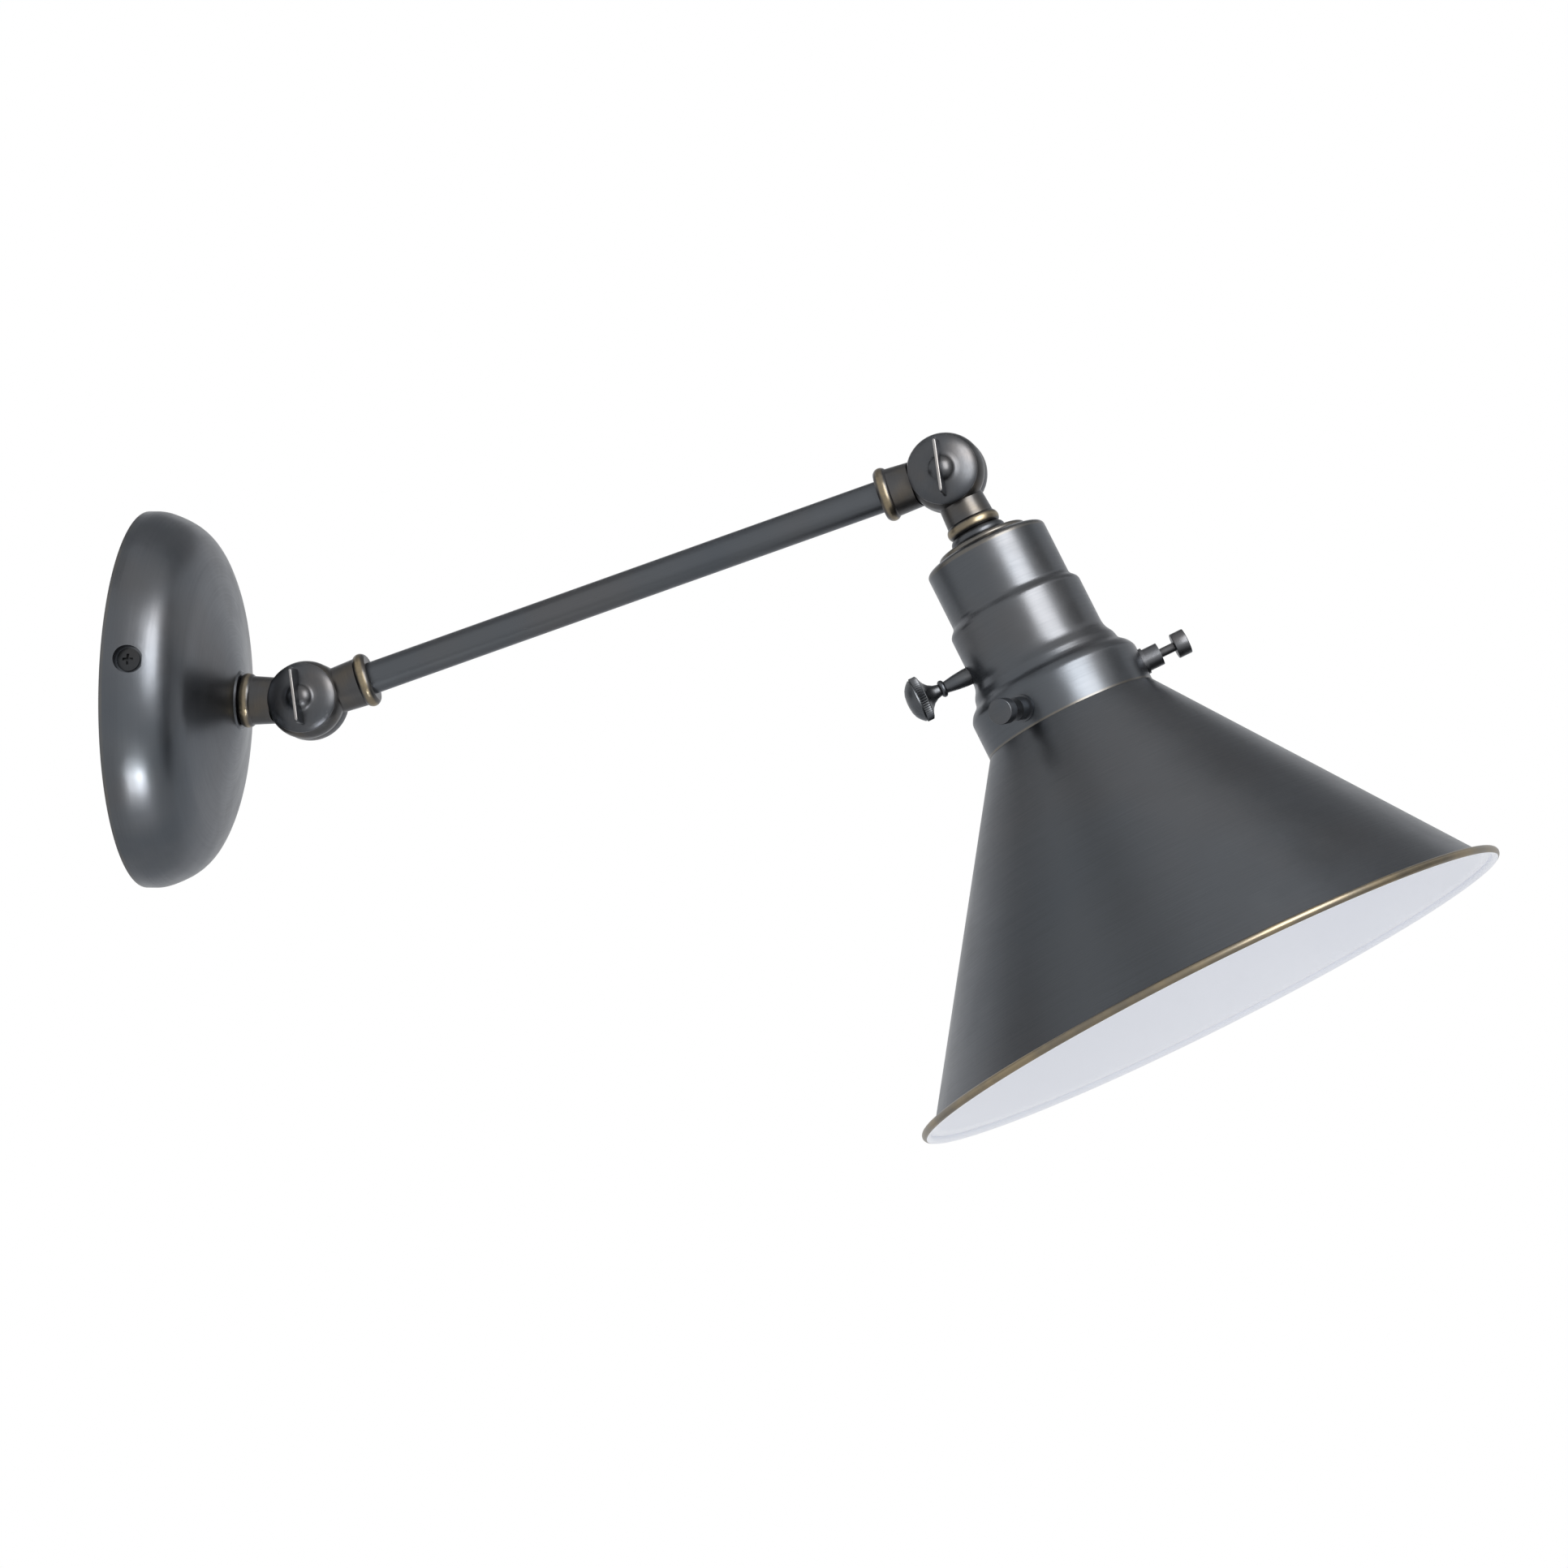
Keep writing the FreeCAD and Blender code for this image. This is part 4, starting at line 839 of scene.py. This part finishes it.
@dataclass
class ThumbTurn:
    """A cast thumb turn: a crowned disc, a boss and an upright blade.

    The edges' and the fillet's corners are a rise and a distance in or out. The
    crown's are a share of its rise and a distance in from the disc's edge.
    """

    side: str
    joint: Triple
    back: float = 9.3
    recess: float = 9.8
    recess_radius: float = 6.15
    disc_radius: float = 11.7
    back_edge: tuple[Pair, ...] = ((0.0, 0.5), (0.3, 0.1), (0.7, 0.0))
    rim: float = 10.7
    rim_edge: tuple[Pair, ...] = ((-0.35, 0.05), (0.0, 0.35))
    crown: float = 13.0
    crown_curve: tuple[Pair, ...] = ((0.36, 1.7), (0.66, 3.35), (0.86, 5.3), (1.0, 6.5))
    boss_radius: float = 4.1
    boss_fillet: tuple[Pair, ...] = ((0.35, 0.4), (0.9, 0.0))
    boss_dome: tuple[float, ...] = (0.25, 0.5, 0.7, 0.85, 0.95)
    top: float = 16.2
    disc_steps: int = 96
    blade_root: float = 10.2
    blade_tip: float = 21.8
    blade_length: float = 18.8
    blade_thickness: float = 1.0
    blade_corner: float = 1.6
    corner_segments: int = 8
    blade_edge: float = 0.24
    # How far down from the blade's tip the painted highlight reaches.
    highlight_depth: float = 0.2
    lean: float = 9.3

    def placement(self) -> Matrix:
        """The matrix that stands the turn in front of its swivel."""
        place = Matrix.Translation(Vector(self.joint) * MM)
        lean = Matrix.Rotation(math.radians(-self.lean), 4, "Y")
        face = Matrix.Rotation(-QUARTER_TURN, 4, "Z")
        return place @ lean @ face @ Matrix.Scale(MM, 4)

    def disc(self) -> bmesh.types.BMesh:
        """The crowned disc with its boss.

        Returns:
            The mesh, drawn along +X.
        """
        profile = [(self.recess, 0.0), (self.recess, self.recess_radius),
                   (self.back, self.recess_radius)]
        profile += [(self.back + rise, self.disc_radius - inset)
                    for rise, inset in self.back_edge]
        profile += [(self.rim + rise, self.disc_radius - inset) for rise, inset in self.rim_edge]
        swell = self.crown - self.rim
        profile += [(self.rim + swell * share, self.disc_radius - inset)
                    for share, inset in self.crown_curve]
        profile += [(self.crown + rise, self.boss_radius + out)
                    for rise, out in self.boss_fillet]
        height = self.top - profile[-1][0]
        bend = (height ** 2 + self.boss_radius ** 2) / (2.0 * height)
        for share in self.boss_dome:
            radius = self.boss_radius * math.sqrt(1.0 - share ** 2)
            profile.append((self.top - bend + math.sqrt(bend ** 2 - radius ** 2), radius))
        return spun(profile + [(self.top, 0.0)], self.disc_steps)

    def blade(self) -> bmesh.types.BMesh:
        """The upright blade with its rounded upper corners.

        Returns:
            The mesh, drawn along +X.
        """
        bm = bmesh.new()
        bmesh.ops.create_cube(bm, size=1.0)
        depth = self.blade_tip - self.blade_root
        size = Vector((depth, self.blade_thickness, self.blade_length))
        bmesh.ops.scale(bm, vec=size, verts=bm.verts[:])
        shift = Vector((self.blade_root + depth / 2.0, 0.0, 0.0))
        bmesh.ops.translate(bm, vec=shift, verts=bm.verts[:])
        corners = [edge for edge in bm.edges
                   if all(end.co.x > self.blade_tip - TOUCHING for end in edge.verts)
                   and abs(edge.verts[0].co.z - edge.verts[1].co.z) < TOUCHING]
        rounded(bm, corners, self.blade_corner, self.corner_segments)
        soften(bm, self.blade_edge)
        return bm

    def build(self, casting: bpy.types.Material, wear_and_highlight: bpy.types.Material) -> None:
        """Builds the turn in place of its solid.

        Args:
            casting: the material of the whole turn.
            wear_and_highlight: the material of the blade's upper edge, a lighter grey that is a
                painted highlight.
        """
        turn = self.disc()
        poured(turn, self.blade())
        # Faces at the blade's tip take the lighter second material: a painted highlight on its
        # upper edge.
        highlight_from = self.blade_tip - self.highlight_depth
        for face in turn.faces:
            face.material_index = int(face.calc_center_median().x > highlight_from)
        about = Finished(f"{self.side}_thumb_turn_casting", f"{self.side}_turn", "gunmetal",
                         f"{self.side}_thumb_turn")
        finish_piece(turn, self.placement(), about, [casting, wear_and_highlight])


@dataclass
class Swivels(SubAssembly):
    """Both swivels: four knuckle halves with beaded collars, and their clamps."""

    bead_radius: float = 9.2
    bead_width: float = 4.2
    worn_share: float = 0.42
    base_reach: float = 22.8
    arm_reach: float = 23.3
    head_reach: float = 22.0

    def dress_knuckle(self, node: str, axis: TurningAxis, reach: float, amount: float) -> None:
        """Dresses one knuckle half, with its bead rubbed through.

        Args:
            node: the solid's name.
            axis: the axis of its collar.
            reach: where its collar ends.
            amount: how much of the bead is worn.
        """
        bead = WornBand(middle=reach - self.bead_width / 2.0,
                        half_width=self.bead_width * self.worn_share,
                        crest=self.bead_radius + 0.02, depth=0.6, amount=amount)
        self.dress(RoundMetal(f"{node}_bronze", axis, Grain.AROUND, Metal.KNUCKLE_BRONZE,
                              roughness=0.32, mottle=45.0, bands=(bead,)), node)

    def dress_all(self) -> None:
        """Dresses the knuckles and what clamps them."""
        self.dress_knuckle("base_knuckle", LAYOUT.base_axis(), self.base_reach, 0.85)
        self.dress_knuckle("arm_lower_knuckle", LAYOUT.arm_axis(), self.arm_reach, 1.0)
        self.dress_knuckle("arm_upper_knuckle", LAYOUT.arm_end_axis(), self.arm_reach, 0.9)
        self.dress_knuckle("head_knuckle", LAYOUT.head_axis(), self.head_reach, 0.95)
        clamps = [f"{side}_{piece}" for side in ("lower", "upper")
                  for piece in ("clamp_screw", "spring_washer", "friction_washer")]
        self.dress(RoundMetal("clamp_steel", LAYOUT.wall_axis(), Grain.CAST, Metal.STEEL,
                              roughness=0.34), *clamps)

    def build_turns(self) -> None:
        """Builds both thumb turns."""
        joints = {"lower": LAYOUT.lower_joint(), "upper": LAYOUT.upper_joint()}
        for side, joint in joints.items():
            axis = TurningAxis(joint, 0.0)
            casting = RoundMetal(f"{side}_turn_gunmetal", axis, Grain.CAST, Metal.TURN_GUNMETAL,
                                 roughness=0.36, line_depth=0.14, mottle=60.0)
            # The blade's upper edge gets a lighter grey: a painted highlight.
            wear_and_highlight = RoundMetal(f"{side}_turn_painted_highlight_edge", axis, Grain.CAST,
                                Metal.PAINTED_HIGHLIGHT_EDGE, roughness=0.34, line_depth=0.1)
            ThumbTurn(side, joint).build(casting.build(self.effects),
                                         wear_and_highlight.build(self.effects))


@dataclass
class Arm(SubAssembly):
    """The straight tube between the swivels."""

    def dress_all(self) -> None:
        """Dresses the tube in drawn, darkened metal."""
        self.dress(RoundMetal("arm_bronze", LAYOUT.arm_axis(), Grain.DRAWN, roughness=0.3,
                              mottle=16.0), "arm_tube")


@dataclass
class SocketCup(SubAssembly):
    """The stepped cup with its bushes, and the lampholder in it."""

    boss_at: float = 26.4
    boss_radius: float = 15.7
    shoulder_at: float = 29.6
    shoulder_radius: float = 21.3
    mouth_at: float = 92.4
    mouth_radius: float = 29.85

    def dress_cup(self) -> None:
        """Dresses the cup and what is fixed to its outside."""
        head = LAYOUT.head_axis()
        boss = WornBand(middle=self.boss_at, half_width=1.2, crest=self.boss_radius,
                        depth=1.6, amount=0.3)
        shoulder = WornBand(middle=self.shoulder_at, half_width=0.9,
                            crest=self.shoulder_radius, depth=1.0, amount=0.2)
        mouth = WornBand(middle=self.mouth_at, half_width=0.6, crest=self.mouth_radius,
                         depth=1.2, amount=0.3)
        self.dress(RoundMetal("cup_bronze", head, Grain.AROUND, roughness=0.31,
                              bands=(boss, shoulder, mouth)), "socket_cup")
        self.dress(RoundMetal("ring_bronze", head, Grain.AROUND, Metal.RING_BRONZE),
                   "head_coupling_ring")
        self.dress(RoundMetal("bush_gunmetal", head, Grain.CAST, Metal.BUSH_GUNMETAL),
                   "shade_screw_bushes")

    def dress_lampholder(self) -> None:
        """Dresses the fasteners in the cup and the lampholder."""
        head = LAYOUT.head_axis()
        self.dress(RoundMetal("head_zinc", head, Grain.CAST, Metal.ZINC),
                   "head_nut", "head_washer")
        self.dress(RoundMetal("holder_brass", head, Grain.AROUND, Metal.HOLDER_BRASS),
                   "lampholder_cap", "lampholder_shell", "head_nipple", "terminal_screws",
                   "centre_contact", "switch_spindle")
        self.dress(RoundMetal("screw_shell_aluminium", head, Grain.AROUND, Metal.ALUMINIUM,
                              roughness=0.28), "screw_shell")
        self.dress(SLEEVE_FIBRE, "insulating_sleeve")
        self.dress(SWITCH_MOULDING, "switch_block", "contact_plate")

    def dress_all(self) -> None:
        """Dresses the cup and the lampholder."""
        self.dress_cup()
        self.dress_lampholder()


@dataclass
class TurnKnob:
    """The switch's knob: a trumpet stem, a knurled band and a domed face.

    The taper's corners are a distance from the head's axis and a radius, the
    collar's are a distance from its start and a radius, and the flare's are a
    share of its length and of its growth. The dome's are shares of its radius.
    """

    effects: SharedEffects
    along: float = 64.5
    clock: float = 170.0
    stem_start: float = 21.4
    stem_radius: float = 3.0
    taper: tuple[Pair, ...] = ((25.0, 2.95), (28.6, 2.6), (31.0, 2.2))
    waist_at: float = 32.3
    waist_radius: float = 2.0
    collar: tuple[Pair, ...] = ((0.25, 2.5), (0.65, 2.85), (1.1, 2.95), (1.55, 2.85), (1.95, 2.5))
    collar_width: float = 2.2
    flare: tuple[Pair, ...] = ((0.3, 0.08), (0.58, 0.25), (0.8, 0.50), (0.93, 0.76))
    trumpet_end: float = 39.8
    trumpet_radius: float = 7.2
    stem_steps: int = 72
    band_radius: float = 7.7
    band_width: float = 2.8
    band_inset: float = 0.2
    band_edge: float = 0.2
    band_edge_segments: int = 2
    ridges: int = 56
    ridge_depth: float = 0.36
    face_edge: float = 0.3
    face_radius: float = 7.3
    face_dome: tuple[float, ...] = (0.96, 0.9, 0.8, 0.65, 0.45, 0.2)
    end: float = 46.0

    def stem(self) -> bmesh.types.BMesh:
        """The turned part of the knob.

        Returns:
            The mesh, drawn along +X.
        """
        collar_end = self.waist_at + self.collar_width
        band_end = self.trumpet_end + self.band_width
        face_start = band_end + self.face_edge
        profile = [(self.stem_start, 0.0), (self.stem_start, self.stem_radius), *self.taper,
                   (self.waist_at, self.waist_radius)]
        profile += [(self.waist_at + along, radius) for along, radius in self.collar]
        profile.append((collar_end, self.waist_radius))
        length = self.trumpet_end - collar_end
        growth = self.trumpet_radius - self.waist_radius
        profile += [(collar_end + length * along, self.waist_radius + growth * out)
                    for along, out in self.flare]
        profile += [(self.trumpet_end, self.trumpet_radius), (band_end, self.trumpet_radius),
                    (face_start, self.face_radius)]
        rise = self.end - face_start
        profile += [(face_start + rise * (1.0 - share ** 3), self.face_radius * share)
                    for share in self.face_dome]
        return spun(profile + [(self.end, 0.0)], self.stem_steps)

    def band(self) -> bmesh.types.BMesh:
        """The knurled band.

        Returns:
            The mesh, drawn along +X.
        """
        bm = bmesh.new()
        bmesh.ops.create_circle(bm, cap_ends=True, radius=self.band_radius,
                                segments=2 * self.ridges)
        low = 1.0 - self.ridge_depth / self.band_radius
        valleys = bm.verts[:][1::2]
        bmesh.ops.scale(bm, vec=Vector((low, low, 1.0)), verts=valleys)
        grown = bmesh.ops.extrude_face_region(bm, geom=bm.faces[:])
        tops = [item for item in grown["geom"] if isinstance(item, bmesh.types.BMVert)]
        height = self.band_width - 2.0 * self.band_inset
        bmesh.ops.translate(bm, vec=Vector((0.0, 0.0, height)), verts=tops)
        bmesh.ops.recalc_face_normals(bm, faces=bm.faces[:])
        rims = [edge for edge in bm.edges
                if abs(edge.verts[0].co.z - edge.verts[1].co.z) < TOUCHING]
        rounded(bm, rims, self.band_edge, self.band_edge_segments)
        place = Matrix.Translation((self.trumpet_end + self.band_inset, 0.0, 0.0))
        lay = Matrix.Rotation(QUARTER_TURN, 4, "Y")
        bmesh.ops.transform(bm, matrix=place @ lay, verts=bm.verts[:])
        return bm

    def build(self) -> None:
        """Builds the knob in place of its solid."""
        knob = self.stem()
        poured(knob, self.band())
        metal = RoundMetal("knob_gunmetal", LAYOUT.head_axis(), Grain.CAST,
                           Metal.KNOB_GUNMETAL, roughness=0.36, mottle=80.0)
        about = Finished("turn_knob", "knob", "gunmetal", "switch_knob")
        finish_piece(knob, LAYOUT.radial_matrix(self.along, self.clock), about,
                     [metal.build(self.effects)])


@dataclass
class ShadeScrews:
    """Three plain thumbscrews round the cup's holder ring."""

    effects: SharedEffects
    along: float = 85.7
    clocks: tuple[float, ...] = (-9.0, 111.0, 231.0)
    tip: float = 28.2
    shank_radius: float = 1.5
    head_at: float = 41.3
    head_length: float = 4.7
    head_radius: float = 4.25
    steps: int = 64
    edge: float = 0.3

    def screw(self) -> bmesh.types.BMesh:
        """One screw, with its edges softened.

        Returns:
            The mesh, drawn along +X.
        """
        end = self.head_at + self.head_length
        bm = spun([(self.tip, 0.0), (self.tip, self.shank_radius),
                   (self.head_at, self.shank_radius), (self.head_at, self.head_radius),
                   (end, self.head_radius), (end, 0.0)], self.steps)
        soften(bm, self.edge)
        return bm

    def build(self) -> None:
        """Builds the three screws in place of their solids."""
        metal = RoundMetal("shade_screw_gunmetal", LAYOUT.head_axis(), Grain.CAST,
                           Metal.SCREW_GUNMETAL, roughness=0.36,
                           mottle=80.0).build(self.effects)
        for number, (letter, clock) in enumerate(zip("abc", self.clocks), start=1):
            about = Finished(f"shade_thumbscrew_{number}", f"shade_screw_{letter}", "gunmetal",
                             f"shade_screw_{number}")
            finish_piece(self.screw(), LAYOUT.radial_matrix(self.along, clock), about, [metal])


@dataclass
class ConeShade:
    """The spun cone with its fitter neck, its flange and its rolled lip.

    The enamel covers the faces that look inwards, or out of the mouth, by more
    than the two slopes. On the roll it reaches outwards from the lip's radius by
    a share of the roll's own, one share on the mouth's side and one on the
    cone's side.
    """

    effects: SharedEffects
    neck_start: float = 81.6
    neck_radius: float = 28.05
    neck_lip_radius: float = 28.575
    neck_lip_width: float = 0.9
    cone_start: float = 91.5
    flange_at: float = 194.35
    mouth_radius: float = 99.7
    flange_round: float = 1.3
    flange_segments: int = 4
    lip_radius: float = 103.7
    lip_at: float = 194.75
    wall: float = 0.8
    roll_radius: float = 1.4
    roll_steps: int = 20
    steps: int = 256
    inward_slope: float = -0.5
    mouthward_slope: float = 0.3
    enamel_at_mouth: float = 0.3
    enamel_at_cone: float = -0.1

    def cone(self) -> bmesh.types.BMesh:
        """The cone and its neck, with their wall.

        Returns:
            The mesh, with its inside faces given the second material.
        """
        neck_lip_end = self.neck_start + self.neck_lip_width
        bm = spun([(self.neck_start, self.neck_lip_radius), (neck_lip_end, self.neck_lip_radius),
                   (neck_lip_end, self.neck_radius), (self.cone_start, self.neck_radius),
                   (self.flange_at, self.mouth_radius), (self.flange_at, self.lip_radius)],
                  self.steps)
        inside_of = self.mouth_radius + TOUCHING
        bend = [edge for edge in bm.edges if all(
            abs(end.co.x - self.flange_at) < TOUCHING
            and math.hypot(end.co.y, end.co.z) < inside_of for end in edge.verts)]
        rounded(bm, bend, self.flange_round, self.flange_segments)
        bmesh.ops.solidify(bm, geom=bm.faces[:], thickness=self.wall)
        for face in bm.faces:
            middle = face.calc_center_median()
            outwards = Vector((0.0, middle.y, middle.z)).normalized().dot(face.normal)
            face.material_index = int(outwards < self.inward_slope
                                      or face.normal.x > self.mouthward_slope)
        return bm

    def roll(self) -> bmesh.types.BMesh:
        """The rolled lip.

        Returns:
            The mesh, with its inner side given the second material.
        """
        bm = bmesh.new()
        bmesh.ops.create_circle(bm, cap_ends=False, radius=self.roll_radius,
                                segments=self.roll_steps)
        stand = Matrix.Translation((self.lip_at, 0.0, self.lip_radius))
        upright = Matrix.Rotation(QUARTER_TURN, 4, "X")
        bmesh.ops.transform(bm, matrix=stand @ upright, verts=bm.verts[:])
        close_spin(bm, self.steps)
        for face in bm.faces:
            middle = face.calc_center_median()
            away = math.hypot(middle.y, middle.z) - self.lip_radius
            reach = self.enamel_at_mouth if middle.x > self.lip_at else self.enamel_at_cone
            face.material_index = int(away < reach * self.roll_radius)
        return bm

    def build(self) -> None:
        """Builds the shade in place of its solid."""
        shade = self.cone()
        poured(shade, self.roll())
        lip = WornBand(middle=self.lip_at, half_width=3.0, crest=self.lip_radius + 0.5,
                       depth=1.0, amount=0.9)
        outside = RoundMetal("shade_bronze", LAYOUT.head_axis(), Grain.SPUN, roughness=0.34,
                             line_depth=0.5, line_tone=1.0, mottle=11.0, bands=(lip,))
        about = Finished("cone_shade", "head", "shade_finish", "shade")
        finish_piece(shade, LAYOUT.head_axis().matrix(), about,
                     [outside.build(self.effects), SHADE_ENAMEL.build(self.effects)])


# ---------------------------------------------------------------- studio


@dataclass(frozen=True)
class SoftBox:
    """A soft studio lamp: its size in metres, power in watts and spread in degrees."""

    name: str
    place: Triple
    aim: Triple
    size: Pair
    power: float
    spread: float = 180.0


@dataclass(frozen=True)
class Card:
    """A flat panel of the studio: its middle and size in metres, its tilt and its grey."""

    name: str
    place: Triple
    tilt: float
    size: Pair
    tone: float


@dataclass(frozen=True)
class CardPaint:
    """The matt paint of the cards, very slightly uneven."""

    cloud_scale: float = 3.0
    cloud_detail: float = 2.0
    dull_share: float = 0.97
    roughness: float = 0.9

    def build(self, card: Card) -> bpy.types.Material:
        """Makes the paint of one card.

        Args:
            card: the card.

        Returns:
            The material.
        """
        material, sheet, shader = start_material(f"{card.name}_paint")
        cloud = sheet.noise(sheet.object_place(), self.cloud_scale, self.cloud_detail)
        dull = self.dull_share * card.tone
        grey = sheet.mix(cloud, (dull, dull, dull), (card.tone, card.tone, card.tone))
        sheet.feed(shader.inputs["Base Color"], grey)
        shader.inputs["Roughness"].default_value = self.roughness
        return material


@dataclass
class Studio:
    """The floor, the flags, the soft boxes, the white surround and the camera.

    Towards and right are the directions from the lamp to the camera and to the
    picture's right. The offset is where the frame's origin lies from the camera:
    right of the picture's middle, above it and away, in millimetres.
    """

    cards: tuple[Card, ...] = (
        Card("floor", (0.3, 0.0, -1.1), 0.0, (3.2, 3.2), 0.84),
        Card("upper_flag", (0.15, 0.65, 0.78), 0.0, (1.4, 1.1), 0.5),
        Card("side_flag", (1.15, 0.1, 0.2), 90.0, (1.3, 0.55), 0.4),
        Card("crown_flag", (-0.34, -0.15, 0.86), -38.0, (0.26, 0.5), 0.52),
        Card("left_flag", (-0.53, 0.19, 0.46), -62.0, (0.2, 0.5), 0.62),
    )
    soft_boxes: tuple[SoftBox, ...] = (
        SoftBox("key", (0.52, -0.34, 0.24), (0.12, 0.0, 0.0), (0.28, 0.46), 3.5),
        SoftBox("low", (0.63, -0.585, -0.99), (-0.03, 0.0, -0.04), (0.2, 0.14), 0.085, 16.0),
    )
    towards: Triple = (0.1722, -0.9815, -0.084)
    right: Triple = (0.985, 0.1707, 0.0245)
    offset: Triple = (-214.0, 28.5, 2200.0)
    focal_pixels: float = 8030.0
    photo_pixels: float = 1932.0
    sensor_width: float = 36.0
    clip_start: float = 0.05
    clip_end: float = 50.0

    def hang_soft_boxes(self) -> None:
        """Hangs the soft boxes, each one turned to its aim."""
        for lamp in self.soft_boxes:
            data = bpy.data.lights.new(lamp.name, "AREA")
            data.shape = "RECTANGLE"
            data.size, data.size_y = lamp.size
            data.energy = lamp.power
            data.spread = math.radians(lamp.spread)
            box = bpy.data.objects.new(lamp.name, data)
            box.visible_camera = False
            box.location = lamp.place
            sight = Vector(lamp.aim) - Vector(lamp.place)
            box.rotation_euler = sight.to_track_quat("-Z", "Y").to_euler()
            bpy.context.scene.collection.objects.link(box)

    @staticmethod
    def surround_with_white() -> None:
        """Makes the white surround, at a plain level."""
        world = bpy.data.worlds.new("surround")
        world.use_nodes = True
        bpy.context.scene.world = world
        world.node_tree.nodes["Background"].inputs["Color"].default_value = (1.0, 1.0, 1.0, 1.0)

    def stand_cards(self) -> None:
        """Lays the pale floor and stands the flags that darken reflections.

        They are kept out of the camera's sight, because the floor would hide
        the lamp from below and the flags would stand round it from other sides.
        """
        paint = CardPaint()
        for card in self.cards:
            bm = bmesh.new()
            bmesh.ops.create_grid(bm, x_segments=1, y_segments=1, size=0.5)
            place = Matrix.Translation(card.place)
            turn = Matrix.Rotation(math.radians(card.tilt), 4, "Y")
            size = Matrix.Diagonal((*card.size, 1.0, 1.0))
            bmesh.ops.transform(bm, matrix=place @ turn @ size, verts=bm.verts[:])
            mesh = bpy.data.meshes.new(card.name)
            bm.to_mesh(mesh)
            bm.free()
            mesh.materials.append(paint.build(card))
            panel = bpy.data.objects.new(card.name, mesh)
            bpy.context.scene.collection.objects.link(panel)
            panel.visible_camera = False

    def stand_camera(self) -> None:
        """Stands the camera at the photograph's viewing point."""
        back = Vector(self.towards).normalized()
        right = Vector(self.right)
        right = (right - back * right.dot(back)).normalized()
        up = back.cross(right)
        aside, rise, away = self.offset
        place = (back * away - right * aside - up * rise) * MM
        data = bpy.data.cameras.new("camera")
        data.sensor_width = self.sensor_width
        data.lens = self.focal_pixels / self.photo_pixels * self.sensor_width
        data.clip_start = self.clip_start
        data.clip_end = self.clip_end
        camera = bpy.data.objects.new("camera", data)
        turn = Matrix((right, up, back)).transposed().to_4x4()
        camera.matrix_world = Matrix.Translation(place) @ turn
        bpy.context.scene.collection.objects.link(camera)
        bpy.context.scene.camera = camera

    def build(self) -> None:
        """Sets up the whole studio."""
        self.surround_with_white()
        self.stand_cards()
        self.hang_soft_boxes()
        self.stand_camera()
        bpy.context.scene.view_settings.view_transform = "Standard"


def main() -> None:
    """Dresses the lamp and sets up its studio."""
    logging.basicConfig(level=logging.INFO, format="%(name)s %(message)s")
    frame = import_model()
    effects = SharedEffects()
    Studio().build()
    WallCanopy(frame, effects).dress_all()
    swivels = Swivels(frame, effects)
    swivels.dress_all()
    swivels.build_turns()
    Arm(frame, effects).dress_all()
    SocketCup(frame, effects).dress_all()
    TurnKnob(effects).build()
    ShadeScrews(effects).build()
    ConeShade(effects).build()


if __name__ == "__main__":
    main()
